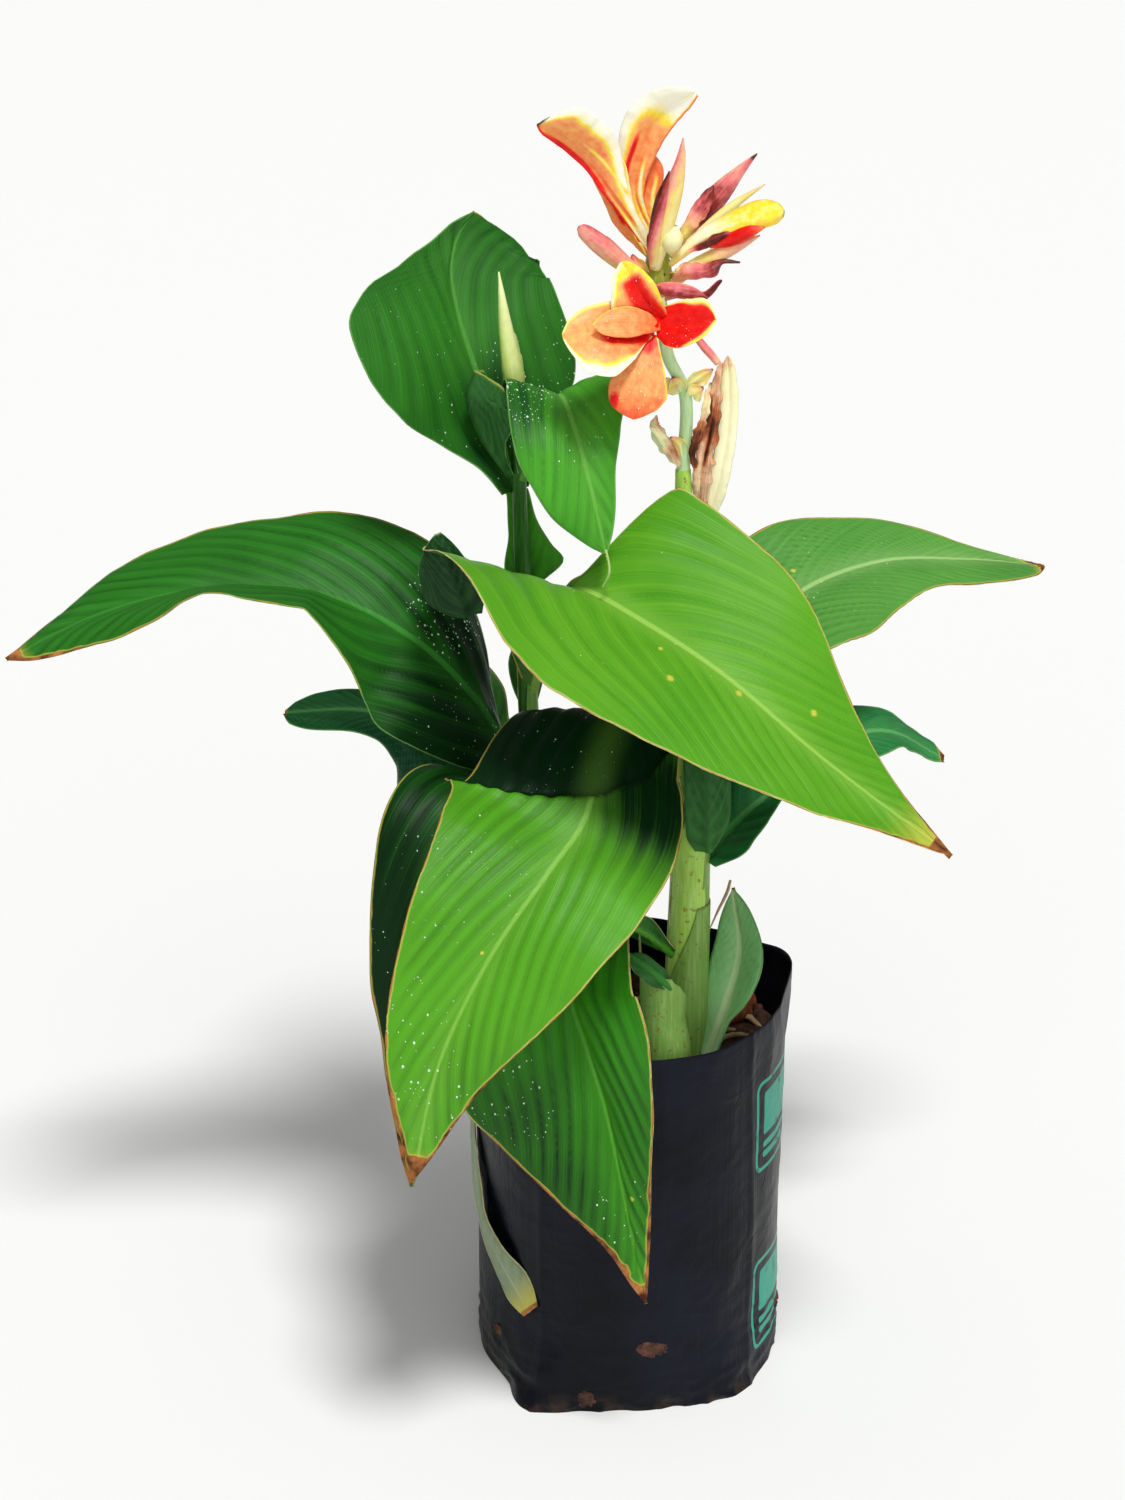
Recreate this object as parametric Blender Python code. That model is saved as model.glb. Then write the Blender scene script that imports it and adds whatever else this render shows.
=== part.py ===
"""A canna lily in a black nursery bag: stems, broad blades, one open bloom, one tall bloom and buds.

Metres, +Z up. The origin is the centre of the bag's flat underside. Places are written in
millimetres and turned into metres by MM. +X is the plant's right and -Y is its front.
"""

import math

import bpy
import numpy as np

MM = 0.001

# The bag: near round, with the four folded ears of its gussets at the underside and a soft
# corner at the rim. An ear or corner is (heading in degrees, how far it stands out).
BAG_WALL = 1.5 * MM
BAG_SIDES = 32
BAG_LEVELS = (0.0, 10.0, 45.0, 180.0, 250.0)
BAG_RADII = (94.0, 95.0, 95.5, 96.0, 95.0)
BAG_EARS = ((-124, 18), (-48, 7), (50, 8), (135, 14))
EAR_RISE = (1.0, 0.65, 0.1, 0.0, 0.0)
RIM_CORNERS = ((14, 8), (-165, 3), (100, 4))
RIM_RISE = (0.0, 0.0, 0.0, 0.2, 1.0)
CORNER_SPREAD = 15.0
SOIL_BOTTOM = 2.0 * MM
SOIL_TOP = 212.0 * MM
SOIL_SHARE = 0.5
SOIL_CLEAR = 1.0 * MM

# The blades. A blade that bends over is made as an arch and a blade, with this gap between them.
BEND_GAP = 0.95 * MM
BLADE_THICK = 1.2 * MM
PETAL_THICK = 0.8 * MM
HALF_STRIPS = 3
STATION_STEP = 26.0 * MM
LEAST_STATIONS = 4
TIP_WIDTH = 0.8 * MM
RIB_POINTS = 80
BUD_FOOT = 0.35

# Stems as (x, y, z, radius) in millimetres, from the soil up.
MAIN_STEM = ((32, -34, 212.8, 12.5), (35, -30, 352, 11), (32, -14, 480, 7.5), (28, -4, 590, 4.5))
LEFT_STEM = ((-50, 20, 213.1, 7), (-58, 12, 340, 6), (-63, 8, 440, 5.5), (-68, 8, 600, 4))
CUT_SHOOT = ((23, -66, 213.4, 12), (21, -65, 245, 13), (17, -63, 280, 12))
FLOWER_STALK = ((28, -4, 591.4, 3.8), (29, -8, 634, 3.8), (18, -9, 662, 3.6), (13, -6, 697, 4))
FLOWER_HUB = ((13, -6, 698.8, 5), (13, -4, 706, 8), (12, -2, 716, 7), (12, 0, 724, 4))
LEAF_ROLL = ((-68, 8, 600.9, 3), (-70, 11, 630, 3.6), (-76, 14, 675, 2.4), (-79, 15, 703, 0.5))
BLOOM_THROAT = ((14, -11.5, 690, 3), (11, -24, 689, 4.5), (9, -35, 688, 4.5))

# Each kind of surface: its linear colour and its roughness.
SURFACES = {
    "bag": ((0.012, 0.013, 0.018), 0.35),
    "soil": ((0.07, 0.035, 0.02), 0.95),
    "root": ((0.15, 0.05, 0.03), 0.85),
    "stem": ((0.20, 0.38, 0.09), 0.45),
    "leaf": ((0.06, 0.26, 0.05), 0.4),
    "orange": ((0.85, 0.16, 0.05), 0.5),
    "pink": ((0.65, 0.16, 0.13), 0.5),
    "straw": ((0.70, 0.62, 0.30), 0.8),
}


def clear_scene():
    for obj in list(bpy.data.objects):
        bpy.data.objects.remove(obj, do_unlink=True)


def material(obj, kind):
    colour, roughness = SURFACES[kind]
    made = bpy.data.materials.new(obj.name)
    made.use_nodes = True
    shader = made.node_tree.nodes["Principled BSDF"]
    shader.inputs["Base Color"].default_value = (*colour, 1.0)
    shader.inputs["Roughness"].default_value = roughness
    obj.data.materials.append(made)


def new_mesh(name, points, faces, kind):
    """One object from points and faces."""
    mesh = bpy.data.meshes.new(name)
    mesh.from_pydata([tuple(p) for p in points], [], faces)
    mesh.update()
    obj = bpy.data.objects.new(name, mesh)
    bpy.context.collection.objects.link(obj)
    mesh.shade_smooth()
    material(obj, kind)
    return obj


def smooth_path(points, count):
    """Evenly spaced places on a Catmull-Rom curve through the points, whatever their columns."""
    knots = np.array(points, float)
    knots = np.vstack([2 * knots[0] - knots[1], knots, 2 * knots[-1] - knots[-2]])
    steps = np.linspace(0, 1, 12, endpoint=False)[:, None]
    fine = []
    for a, b, c, d in zip(knots, knots[1:], knots[2:], knots[3:]):
        slope_b = (c - a) / 2
        slope_c = (d - b) / 2
        rise = 2 * (b - c) + slope_b + slope_c
        bend = 3 * (c - b) - 2 * slope_b - slope_c
        fine.append(((rise * steps + bend) * steps + slope_b) * steps + b)
    fine = np.vstack([*fine, knots[-2:-1]])
    lengths = np.linalg.norm(np.diff(fine[:, :3], axis=0), axis=1)
    along = np.concatenate([[0], np.cumsum(lengths)])
    wanted = np.linspace(0, along[-1], count)
    return np.stack([np.interp(wanted, along, column) for column in fine.T], axis=1)


def tube(name, route, kind, sections=7, sides=2):
    """A round stem along a route of (x, y, z, radius) in millimetres, with closed ends."""
    curve = bpy.data.curves.new(name, "CURVE")
    curve.dimensions = "3D"
    curve.bevel_depth = MM
    curve.bevel_resolution = sides
    curve.use_fill_caps = True
    path = smooth_path(route, sections)
    spline = curve.splines.new("POLY")
    spline.points.add(sections - 1)
    for point, (x, y, z, radius) in zip(spline.points, path):
        point.co = (x * MM, y * MM, z * MM, 1)
        point.radius = radius
    obj = bpy.data.objects.new(name, curve)
    bpy.context.collection.objects.link(obj)
    material(obj, kind)


def bud(name, start, end, radius, kind):
    """A spindle from start to end, widest two fifths of the way up."""
    start = np.array(start, float)
    end = np.array(end, float)
    shape = ((0, BUD_FOOT), (0.2, 0.85), (0.4, 1.0), (0.7, 0.7), (1, 0.12))
    tube(name, [(*(start + (end - start) * t), radius * r) for t, r in shape], kind, sections=6)


def corner_reach(headings, corners):
    """How far the corners stand out at each heading, in millimetres."""
    reach = np.zeros(len(headings))
    for heading, height in corners:
        away = (headings - heading + 180) % 360 - 180
        reach += height * np.exp(-((away / CORNER_SPREAD) ** 2))
    return reach


def bag_ring(height, inset, share=1.0):
    """Points round the bag at a height, inside its outer face by inset, with a share of its corners."""
    level = height / MM
    headings = np.linspace(0, 360, BAG_SIDES, endpoint=False)
    reach = np.interp(level, BAG_LEVELS, BAG_RADII)
    reach = reach + share * corner_reach(headings, BAG_EARS) * np.interp(level, BAG_LEVELS, EAR_RISE)
    reach = reach + share * corner_reach(headings, RIM_CORNERS) * np.interp(level, BAG_LEVELS, RIM_RISE)
    reach = reach * MM - inset
    turn = np.radians(headings)
    return np.stack([reach * np.cos(turn), reach * np.sin(turn), np.full(BAG_SIDES, height)], 1)


def ring_faces(rings, sides):
    """Quads between rings of points that follow one another, and a flat face at each end."""
    faces = []
    for ring in range(rings - 1):
        low = ring * sides
        for i in range(sides):
            j = (i + 1) % sides
            faces.append((low + i, low + j, low + sides + j, low + sides + i))
    faces.append(tuple(reversed(range(sides))))
    faces.append(tuple(range((rings - 1) * sides, rings * sides)))
    return faces


def grow_bag():
    """The bag: up its outer face, over the rim, and down its inner face to the floor."""
    levels = [height * MM for height in BAG_LEVELS]
    outer = [bag_ring(height, 0) for height in levels]
    inner = [bag_ring(max(height, BAG_WALL), BAG_WALL) for height in reversed(levels)]
    rings = outer + inner
    new_mesh("grow_bag", np.vstack(rings), ring_faces(len(rings), BAG_SIDES), "bag")


def soil_fill():
    heights = (SOIL_BOTTOM, *[level * MM for level in BAG_LEVELS[1:-1]], SOIL_TOP)
    rings = [bag_ring(height, BAG_WALL + SOIL_CLEAR, SOIL_SHARE) for height in heights]
    new_mesh("soil_fill", np.vstack(rings), ring_faces(len(rings), BAG_SIDES), "soil")


def on_stem(stem, height, heading, clear=1.0):
    """The foot of a blade or bud against a stem, its middle this far from the bark, in millimetres."""
    x, y, z, radius = np.array(stem, float).T
    turn = math.radians(heading)
    reach = np.interp(height, z, radius) + clear
    centre_x = np.interp(height, z, x)
    centre_y = np.interp(height, z, y)
    return (centre_x + reach * math.cos(turn), centre_y + reach * math.sin(turn), height)


def half_width(t, width, sizes):
    """The half width at t along the blade, from its foot (0) to its tip (1)."""
    peak = sizes["peak"]
    rise = np.sin(np.pi / 2 * np.clip(t / peak, 0, 1)) ** sizes["swell"]
    fall = 1 - np.clip((t - peak) / (1 - peak), 0, 1) ** sizes["taper"]
    start = sizes["start"]
    return np.maximum(width * np.minimum(start + (1 - start) * rise, fall), TIP_WIDTH)


def spread(values, t):
    """A value that is given evenly from foot to tip, read at each t."""
    return np.interp(t, np.linspace(0, 1, len(values)), values)


def blade_surface(sizes, t):
    """Rows of points across the blade at each t: left margin, rib, right margin, in metres.

    Each half leaves the rib at its lift angle above the line that runs straight across.
    """
    rib = smooth_path(sizes["rib"], RIB_POINTS) * MM
    along = np.linspace(0, 1, RIB_POINTS)
    places = np.stack([np.interp(t, along, column) for column in rib.T], axis=1)
    slopes = np.stack([np.interp(t, along, column) for column in np.gradient(rib, axis=0).T], axis=1)
    ahead = slopes / np.linalg.norm(slopes, axis=1)[:, None]
    heading = np.radians(spread(sizes["heading"], t))
    across = np.stack([np.sin(heading), -np.cos(heading), np.zeros(len(t))], axis=1)
    side = across - (ahead * across).sum(axis=1)[:, None] * ahead
    side /= np.linalg.norm(side, axis=1)[:, None]
    above = np.cross(side, ahead)
    roll = math.radians(sizes["roll"])
    level, upright = side, above
    side = level * math.cos(roll) + upright * math.sin(roll)
    above = upright * math.cos(roll) - level * math.sin(roll)
    halves = []
    for hand, key in ((-1, "left"), (1, "right")):
        width, *lifts = sizes[key]
        reach = half_width(t, width * MM, sizes)[:, None]
        lift = np.radians(spread(lifts, t))[:, None]
        margin = (hand * side * np.cos(lift) + above * np.sin(lift)) * reach
        halves.append([places + margin * step / HALF_STRIPS for step in range(HALF_STRIPS + 1)])
    left, right = halves
    return np.stack(left[:0:-1] + right, axis=1)


def sheet(name, sizes, start, end, length, kind, thick):
    """One closed sheet: the stretch of the blade from start to end."""
    stations = max(LEAST_STATIONS, round((end - start) * length / STATION_STEP) + 2)
    grid = blade_surface(sizes, np.linspace(start, end, stations))
    rows, columns = grid.shape[:2]
    faces = []
    for i in range(rows - 1):
        for j in range(columns - 1):
            corner = i * columns + j
            faces.append((corner, corner + 1, corner + columns + 1, corner + columns))
    obj = new_mesh(name, grid.reshape(-1, 3), faces, kind)
    shell = obj.modifiers.new("thickness", "SOLIDIFY")
    shell.thickness = thick
    shell.offset = 0


def blade(name, sizes, kind, thick):
    """A blade as one sheet, or as an arch and a blade where it bends over."""
    rib = smooth_path(sizes["rib"], RIB_POINTS) * MM
    length = np.linalg.norm(np.diff(rib, axis=0), axis=1).sum()
    bend = sizes["bend"]
    if bend is None:
        sheet(name, sizes, 0, 1, length, kind, thick)
        return
    clear = BEND_GAP / 2 / length
    sheet(name + "_arch", sizes, 0, bend - clear, length, kind, thick)
    sheet(name + "_blade", sizes, bend + clear, 1, length, kind, thick)


def shape(rib, heading, left, right, **more):
    """A blade's sizes: its rib in millimetres, the heading of its back, and for each half its
    width in millimetres and then its lift angles from foot to tip. It bends over at bend."""
    usual = {"roll": 0, "start": 0.06, "swell": 1.0, "peak": 0.4, "taper": 1.5, "bend": None}
    return {"rib": rib, "heading": heading, "left": left, "right": right, **usual, **more}


LEAVES = {
    "leaf_front_right": shape(
        [on_stem(LEFT_STEM, 446, -30, 1.7), (-47, -18, 507), (-33, -42, 530), (0, -68, 523), (50, -102, 501),
         (105, -135, 464), (176, -163, 417)],
        heading=(-70, -58, -42, -35, -35), left=(88, 0, 48, 34, 12, 0),
        right=(98, 0, 34, 6, -6, -10, -8, 0), start=0.02, swell=1.8, peak=0.34, taper=1.25, bend=0.25),
    "leaf_far_left": shape(
        [on_stem(LEFT_STEM, 385, 180, 1.2), (-96, -3, 447), (-135, -4, 486), (-190, 4, 514), (-256, 4, 521),
         (-318, -6, 503), (-370, -20, 477)],
        heading=[180], left=(60, 0, -20, 10, -15, -38, -30), right=(66, 0, 40, 18, 10, 0), peak=0.35, taper=1.9,
        bend=0.42),
    "leaf_front_left": shape(
        [on_stem(MAIN_STEM, 372, -125, 1.25), (10, -54, 430), (-6, -64, 462), (-19, -90, 446), (-30, -120, 416),
         (-52, -147, 394), (-84, -175, 357), (-112, -192, 300), (-128, -200, 228)],
        heading=[-95], left=(64, 0, -20, -10, 10, 10, 0), right=(76, 0, -25, -5, 10, 10, 0), start=0.04,
        peak=0.42, taper=1.5, bend=0.3),
    "leaf_front_low": shape(
        [on_stem(MAIN_STEM, 290, -150, 1.9), (-2, -78, 330), (-26, -106, 332), (-36, -123, 308), (-28, -134, 280),
         (-16, -142, 240), (-4, -151, 180), (8, -150, 114)],
        heading=[-90], left=(38, 0, 40, 40, 10), right=(77, 0, 10, 5, 5), swell=2.2, peak=0.5, taper=1.3,
        bend=0.38),
    "leaf_left_low": shape(
        [on_stem(LEFT_STEM, 355, -130), (-84, -26, 400), (-104, -56, 408), (-114, -82, 382), (-119, -97, 332),
         (-122, -105, 265), (-133, -112, 172)],
        heading=[-110], left=(34, 0, 10, 5, 0), right=(33, 0, 10, 10, 0), peak=0.5, taper=1.6,
        bend=0.42),
    "leaf_far_right": shape(
        [on_stem(MAIN_STEM, 415, 45, 1.35), (62, 2, 462), (98, 38, 494), (150, 72, 503), (205, 90, 498),
         (256, 100, 490)],
        heading=[30], left=(48, 0, 40, 35, 10), right=(58, 0, -12, -20, 0), peak=0.42, taper=1.1),
    "leaf_right_back": shape(
        [on_stem(MAIN_STEM, 350, 40), (72, 8, 380), (112, 32, 402), (155, 50, 401), (195, 60, 377)],
        heading=[40], left=(34, 0, 55, 20, -10), right=(30, 0, 30, -30, -30), peak=0.45, taper=2.0),
    "leaf_crown_back": shape(
        [on_stem(LEFT_STEM, 572, 110), (-84, 30, 604), (-93, 42, 634), (-103, 58, 662), (-108, 76, 686),
         (-104, 95, 702), (-95, 112, 711)],
        heading=[112], left=(76, 0, 20, 20, 10), right=(64, 0, 20, 20, 10), start=0.04, swell=1.25,
        peak=0.44, taper=1.3),
    "leaf_crown_front": shape(
        [on_stem(LEFT_STEM, 580, -40, 1.8), (-53, 2, 616), (-44, -5, 636), (-34, -34, 621), (-25, -51, 592),
         (-17, -60, 558)],
        heading=[-75], left=(36, 0, 35, 10, 0), right=(34, 0, 30, 0, 0), start=0.04, peak=0.42, taper=1.8,
        bend=0.36),
    "leaf_left_back": shape(
        [on_stem(LEFT_STEM, 362, 160), (-95, 22, 388), (-125, 45, 402), (-165, 78, 402), (-217, 100, 391)],
        heading=[155], left=(40, 0, 15, 5, 5), right=(40, 0, -10, -10, -10), peak=0.4, taper=4.0),
    "leaf_back": shape(
        [on_stem(MAIN_STEM, 385, 110, 0.6), (24, 15, 425), (18, 58, 446), (12, 110, 438), (5, 160, 396)],
        heading=[90], left=(48, 0, 30, 15, 0), right=(46, 0, 30, 15, 0), peak=0.45, taper=1.5),
    "leaf_back_left": shape(
        [on_stem(LEFT_STEM, 380, 115, 0.8), (-82, 48, 415), (-98, 92, 424), (-116, 136, 410), (-138, 168, 374)],
        heading=[115], left=(42, 0, 25, 10, 0), right=(42, 0, 25, 10, 0), peak=0.45, taper=1.5),
    "leaf_base_right": shape(
        [(51, -46, 213.2), (59, -38, 250), (66, -26, 287), (62, -10, 322)],
        heading=[60], left=(10, 0, 20, 10), right=(19, 0, 20, 10), start=0.2),
    "leaf_old_left": shape(
        [on_stem(LEFT_STEM, 252, 170), (-82, 15, 272), (-101, 11, 258), (-100, 4, 200), (-98, -14, 150),
         (-91, -40, 102), (-63, -79, 62)],
        heading=(180, 180, 185, 195, 230), left=(10, 0), right=(9, 0), peak=0.7, bend=0.24),
    "sheath_upper": shape(
        [on_stem(LEFT_STEM, 500, 90), (-66, 15, 530), on_stem(LEFT_STEM, 568, 90)],
        heading=[90], left=(12, 0, 0), right=(16, 0, 0), start=0.1, peak=0.4, taper=2.0),
    "sheath_lower": shape(
        [on_stem(LEFT_STEM, 425, 90), (-64, 15, 452), on_stem(LEFT_STEM, 478, 90)],
        heading=[90], left=(12, 0, 0), right=(13, 0, 0), start=0.1, peak=0.4, taper=2.0),
    "sheath_crown": shape(
        [on_stem(LEFT_STEM, 590, 180, 1.2), (-80, 14, 618), (-84, 15, 642)],
        heading=[180], left=(10, 0, 50, 60), right=(10, 0, 50, 60), start=0.4, peak=0.7, taper=4.0),
}

PETALS = {
    "petal_left": shape(
        [(3.9, -35, 687), (-18, -46, 688), (-42, -50, 684)],
        heading=[180], left=(24, 0), right=(22, 0), roll=50, start=0.2, peak=0.6, taper=3.0),
    "petal_top": shape(
        [(8.5, -35, 693.3), (2, -40, 712), (-9, -38, 729)],
        heading=[90], left=(16, 0), right=(15, 0), start=0.2, peak=0.5, taper=2.5),
    "petal_right": shape(
        [(14.4, -35, 688.6), (30, -42, 695), (43, -42, 693)],
        heading=[0], left=(14, 0), right=(15, 0), roll=-50, start=0.2, peak=0.6, taper=3.0),
    "petal_lip": shape(
        [(8.5, -35.5, 683.1), (4, -48, 660), (-2, -54, 639)],
        heading=[-90], left=(16, 0), right=(17, 0), start=0.2, peak=0.6, taper=3.0),
    "tall_petal_left": shape(
        [on_stem(FLOWER_HUB, 722, 200, 1.2), (-18, -5, 765), (-32, -6, 786), (-56, -12, 794)],
        heading=[90], left=(13, 0), right=(17, 0), start=0.08, peak=0.65, taper=2.5),
    "tall_petal_right": shape(
        [on_stem(FLOWER_HUB, 722, 75, 0.8), (12, 6, 767), (18, 0, 795), (34, -5, 814)],
        heading=[90], left=(19, 0), right=(12, 0), start=0.08, peak=0.65, taper=2.5),
    "tall_petal_narrow": shape(
        [on_stem(FLOWER_HUB, 718, 150, 0.8), (-14, 6, 745), (-28, 2, 768)],
        heading=[90], left=(4, 0), right=(4, 0), start=0.2, peak=0.5, taper=2.5),
}
WITHERED_BRACT = shape(
    [on_stem(MAIN_STEM, 560, 75), (42, 3, 584), (50, 0, 616), (53, -2, 656)],
    heading=[90], left=(8, 0), right=(6, 0), start=0.15, peak=0.5, taper=3.0)

# Each bud: what it stands on, the height and heading of its foot, its clearance, its tip and radius.
BUDS = {
    "bud_tall": (FLOWER_HUB, 714, -105, 2.2, (25, -20, 790), 5, "pink"),
    "bud_back_right": (FLOWER_HUB, 717, 20, 1.3, (68, 12, 773), 4.5, "pink"),
    "bud_half_open": (FLOWER_HUB, 714, -30, 1.2, (81, -20, 750), 7, "orange"),
    "bud_withered": (FLOWER_HUB, 703, -20, 1.3, (58, -20, 719), 4.5, "pink"),
    "bud_left": (FLOWER_HUB, 708, 200, 1.2, (-33, -20, 737), 4, "pink"),
    "bud_small_right": (FLOWER_STALK, 694, -30, 1.1, (46, -20, 708), 3.2, "pink"),
    "stalk_pink": (FLOWER_STALK, 668, 0, 0.9, (47, -12, 656), 2.5, "pink"),
    "bud_dry_low": (FLOWER_STALK, 600, -120, 1.2, (12, -14, 626), 3.5, "straw"),
}
RHIZOME = ((52, 22, 220.8), (76, 40, 220.8), 8)


def main():
    clear_scene()
    grow_bag()
    soil_fill()
    tube("main_stem", MAIN_STEM, "stem", sections=9)
    tube("left_stem", LEFT_STEM, "stem", sections=9)
    tube("cut_shoot", CUT_SHOOT, "stem", sections=4)
    tube("flower_stalk", FLOWER_STALK, "stem", sections=7)
    tube("flower_hub", FLOWER_HUB, "stem", sections=5)
    tube("leaf_roll", LEAF_ROLL, "stem", sections=6)
    tube("bloom_throat", BLOOM_THROAT, "pink", sections=4)
    bud("rhizome", *RHIZOME, "root")
    for name, sizes in LEAVES.items():
        blade(name, sizes, "leaf", BLADE_THICK)
    for name, sizes in PETALS.items():
        blade(name, sizes, "orange", PETAL_THICK)
    blade("withered_bract", WITHERED_BRACT, "straw", PETAL_THICK)
    for name, (stem, height, heading, clear, end, radius, kind) in BUDS.items():
        bud(name, on_stem(stem, height, heading, clear), end, radius, kind)


main()
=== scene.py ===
import math
from functools import partial

import bmesh
import bpy
import numpy as np
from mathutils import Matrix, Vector, noise


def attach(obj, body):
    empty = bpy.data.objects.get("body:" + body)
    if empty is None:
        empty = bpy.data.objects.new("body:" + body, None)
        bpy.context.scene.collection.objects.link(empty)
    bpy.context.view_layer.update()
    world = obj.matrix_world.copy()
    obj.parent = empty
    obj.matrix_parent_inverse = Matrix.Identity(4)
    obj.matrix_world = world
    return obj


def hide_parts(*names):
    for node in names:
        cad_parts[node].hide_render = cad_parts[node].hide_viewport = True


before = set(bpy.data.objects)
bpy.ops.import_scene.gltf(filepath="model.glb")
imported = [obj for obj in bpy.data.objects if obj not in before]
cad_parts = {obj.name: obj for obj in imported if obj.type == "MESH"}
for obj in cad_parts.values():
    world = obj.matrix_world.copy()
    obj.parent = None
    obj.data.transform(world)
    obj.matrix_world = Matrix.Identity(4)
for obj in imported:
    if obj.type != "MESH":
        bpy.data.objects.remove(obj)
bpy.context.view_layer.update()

mm = 0.001  # sizes are written in millimetres and built in metres
cm = 0.1  # the skins' own maps are in centimetres
noise.seed_set(7)


# small helpers

def linear(text):
    # sRGB hex to the linear colour that Blender's sockets want
    parts = [int(text[i:i + 2], 16) / 255 for i in (1, 3, 5)]
    return tuple(c / 12.92 if c <= 0.04045 else ((c + 0.055) / 1.055) ** 2.4 for c in parts) + (1.0,)


def firstOutput(source):
    # a node stands for the first of its outputs in use; a socket for itself
    return next(end for end in source.outputs if end.enabled) if isinstance(source, bpy.types.Node) else source


def addNode(tree, kind, inputs=(), stops=(), **settings):
    # one node with its settings and links. Its inputs come by name, or in order with None for one left alone, and
    # take a plain value, a node or a socket; stops are a ramp's places and colours
    node = tree.nodes.new(kind)
    for name, value in settings.items():
        setattr(node, name, value)
    named = isinstance(inputs, dict)
    ends = [node.inputs[key] for key in inputs] if named else [end for end in node.inputs if end.enabled]
    for end, value in zip(ends, inputs.values() if named else inputs):
        value = firstOutput(value)
        if isinstance(value, bpy.types.NodeSocket):
            tree.links.new(value, end)
        elif value is not None:
            end.default_value = value
    if stops:
        marks = node.color_ramp.elements
        for mark, (position, colour) in zip(marks, (stops[0], stops[-1])):
            mark.position, mark.color = position, linear(colour)
        for position, colour in stops[1:-1]:
            marks.new(position).color = linear(colour)
    return node


def startMaterial(name, **constants):
    # a material, what adds a node to it, and its shader
    made = bpy.data.materials.new(name)
    made.use_nodes = True
    shader = made.node_tree.nodes["Principled BSDF"]
    for key, value in constants.items():
        shader.inputs[key.replace("_", " ")].default_value = value
    return made, partial(addNode, made.node_tree), shader


def feed(shader, **sources):
    # links each source to the shader's input of that name
    for key, source in sources.items():
        shader.id_data.links.new(firstOutput(source), shader.inputs[key.replace("_", " ")])


def startTree(name, sizes):
    # a Geometry Nodes tree with named inputs at their usual values, what adds a node to it, and what it is given
    tree = bpy.data.node_groups.new(name, "GeometryNodeTree")
    tree.interface.new_socket("Geometry", in_out="INPUT", socket_type="NodeSocketGeometry")
    for label, usual in sizes.items():
        kind = "NodeSocketInt" if isinstance(usual, int) else "NodeSocketFloat"
        tree.interface.new_socket(label, in_out="INPUT", socket_type=kind).default_value = usual
    tree.interface.new_socket("Material", in_out="INPUT", socket_type="NodeSocketMaterial")
    tree.interface.new_socket("Geometry", in_out="OUTPUT", socket_type="NodeSocketGeometry")
    return tree, partial(addNode, tree), tree.nodes.new("NodeGroupInput").outputs


def endTree(tree, shape, given):
    # the shape leaves the tree smooth, real and in its material
    smooth = addNode(tree, "GeometryNodeSetShadeSmooth", (shape,))
    real = addNode(tree, "GeometryNodeRealizeInstances", (smooth,))
    skin = addNode(tree, "GeometryNodeSetMaterial", {"Geometry": real, "Material": given["Material"]})
    addNode(tree, "NodeGroupOutput", (skin,))
    return tree


def runTree(obj, tree, sizes):
    # the tree as a modifier, with its inputs set by their sockets' identifiers
    modifier = obj.modifiers.new(tree.name, "NODES")
    modifier.node_group = tree
    keys = {item.name: item.identifier for item in tree.interface.items_tree if item.in_out == "INPUT"}
    for label, value in sizes.items():
        modifier[keys[label]] = value


def smoothPath(points, count):
    # evenly spaced places on a Catmull-Rom curve through the points, whatever their columns
    knots = np.array(points, float)
    knots = np.vstack([2 * knots[0] - knots[1], knots, 2 * knots[-1] - knots[-2]])
    steps = np.linspace(0, 1, 16, endpoint=False)[:, None]
    fine = []
    for a, b, c, d in zip(knots, knots[1:], knots[2:], knots[3:]):
        slopeB = (c - a) / 2
        slopeC = (d - b) / 2
        rise = 2 * (b - c) + slopeB + slopeC
        bend = 3 * (c - b) - 2 * slopeB - slopeC
        fine.append(((rise * steps + bend) * steps + slopeB) * steps + b)
    fine = np.vstack([*fine, knots[-2:-1]])
    lengths = np.linalg.norm(np.diff(fine[:, :3], axis=0), axis=1)
    along = np.concatenate([[0], np.cumsum(lengths)])
    wanted = np.linspace(0, along[-1], count)
    return np.stack([np.interp(wanted, along, column) for column in fine.T], axis=1)


def spread(values, t):
    # a value given evenly from foot to tip, read at t and eased between its knots
    values = np.atleast_1d(np.array(values, float))
    if len(values) == 1:
        return np.full(np.shape(t), values[0])
    spot = np.clip(t, 0, 1) * (len(values) - 1)
    low = np.minimum(spot.astype(int), len(values) - 2)
    part = spot - low
    return values[low] + (values[low + 1] - values[low]) * (part * part * (3 - 2 * part) + part) / 2


def ease(low, high, x):
    part = np.clip((x - low) / (high - low), 0, 1)
    return part * part * (3 - 2 * part)


def wander(x, seed, roughness=0.55):
    # smooth 1-D noise between -1 and 1, x in its own waves
    total = np.zeros(np.shape(x))
    for octave in range(3):
        turn = seed * 12.9898 + octave * 78.233
        pace = 2.1 ** octave
        total += roughness ** octave * np.sin(x * pace * 6.283 + turn + 1.7 * np.sin(x * pace * 2.6 + 2 * turn))
    return total / 1.85


def gridFaces(rows, columns, closed=False, flipped=False):
    # the four-sided faces between rows of places, where a closed row comes round to its start
    faces = []
    for i in range(rows - 1):
        for j in range(columns if closed else columns - 1):
            a, b = (j + 1) % columns if flipped else j, j if flipped else (j + 1) % columns
            faces.append((i * columns + a, i * columns + b, (i + 1) * columns + b, (i + 1) * columns + a))
    return faces


def newObject(name, mesh):
    obj = bpy.data.objects.new(name, mesh)
    bpy.context.scene.collection.objects.link(obj)
    return obj


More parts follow.
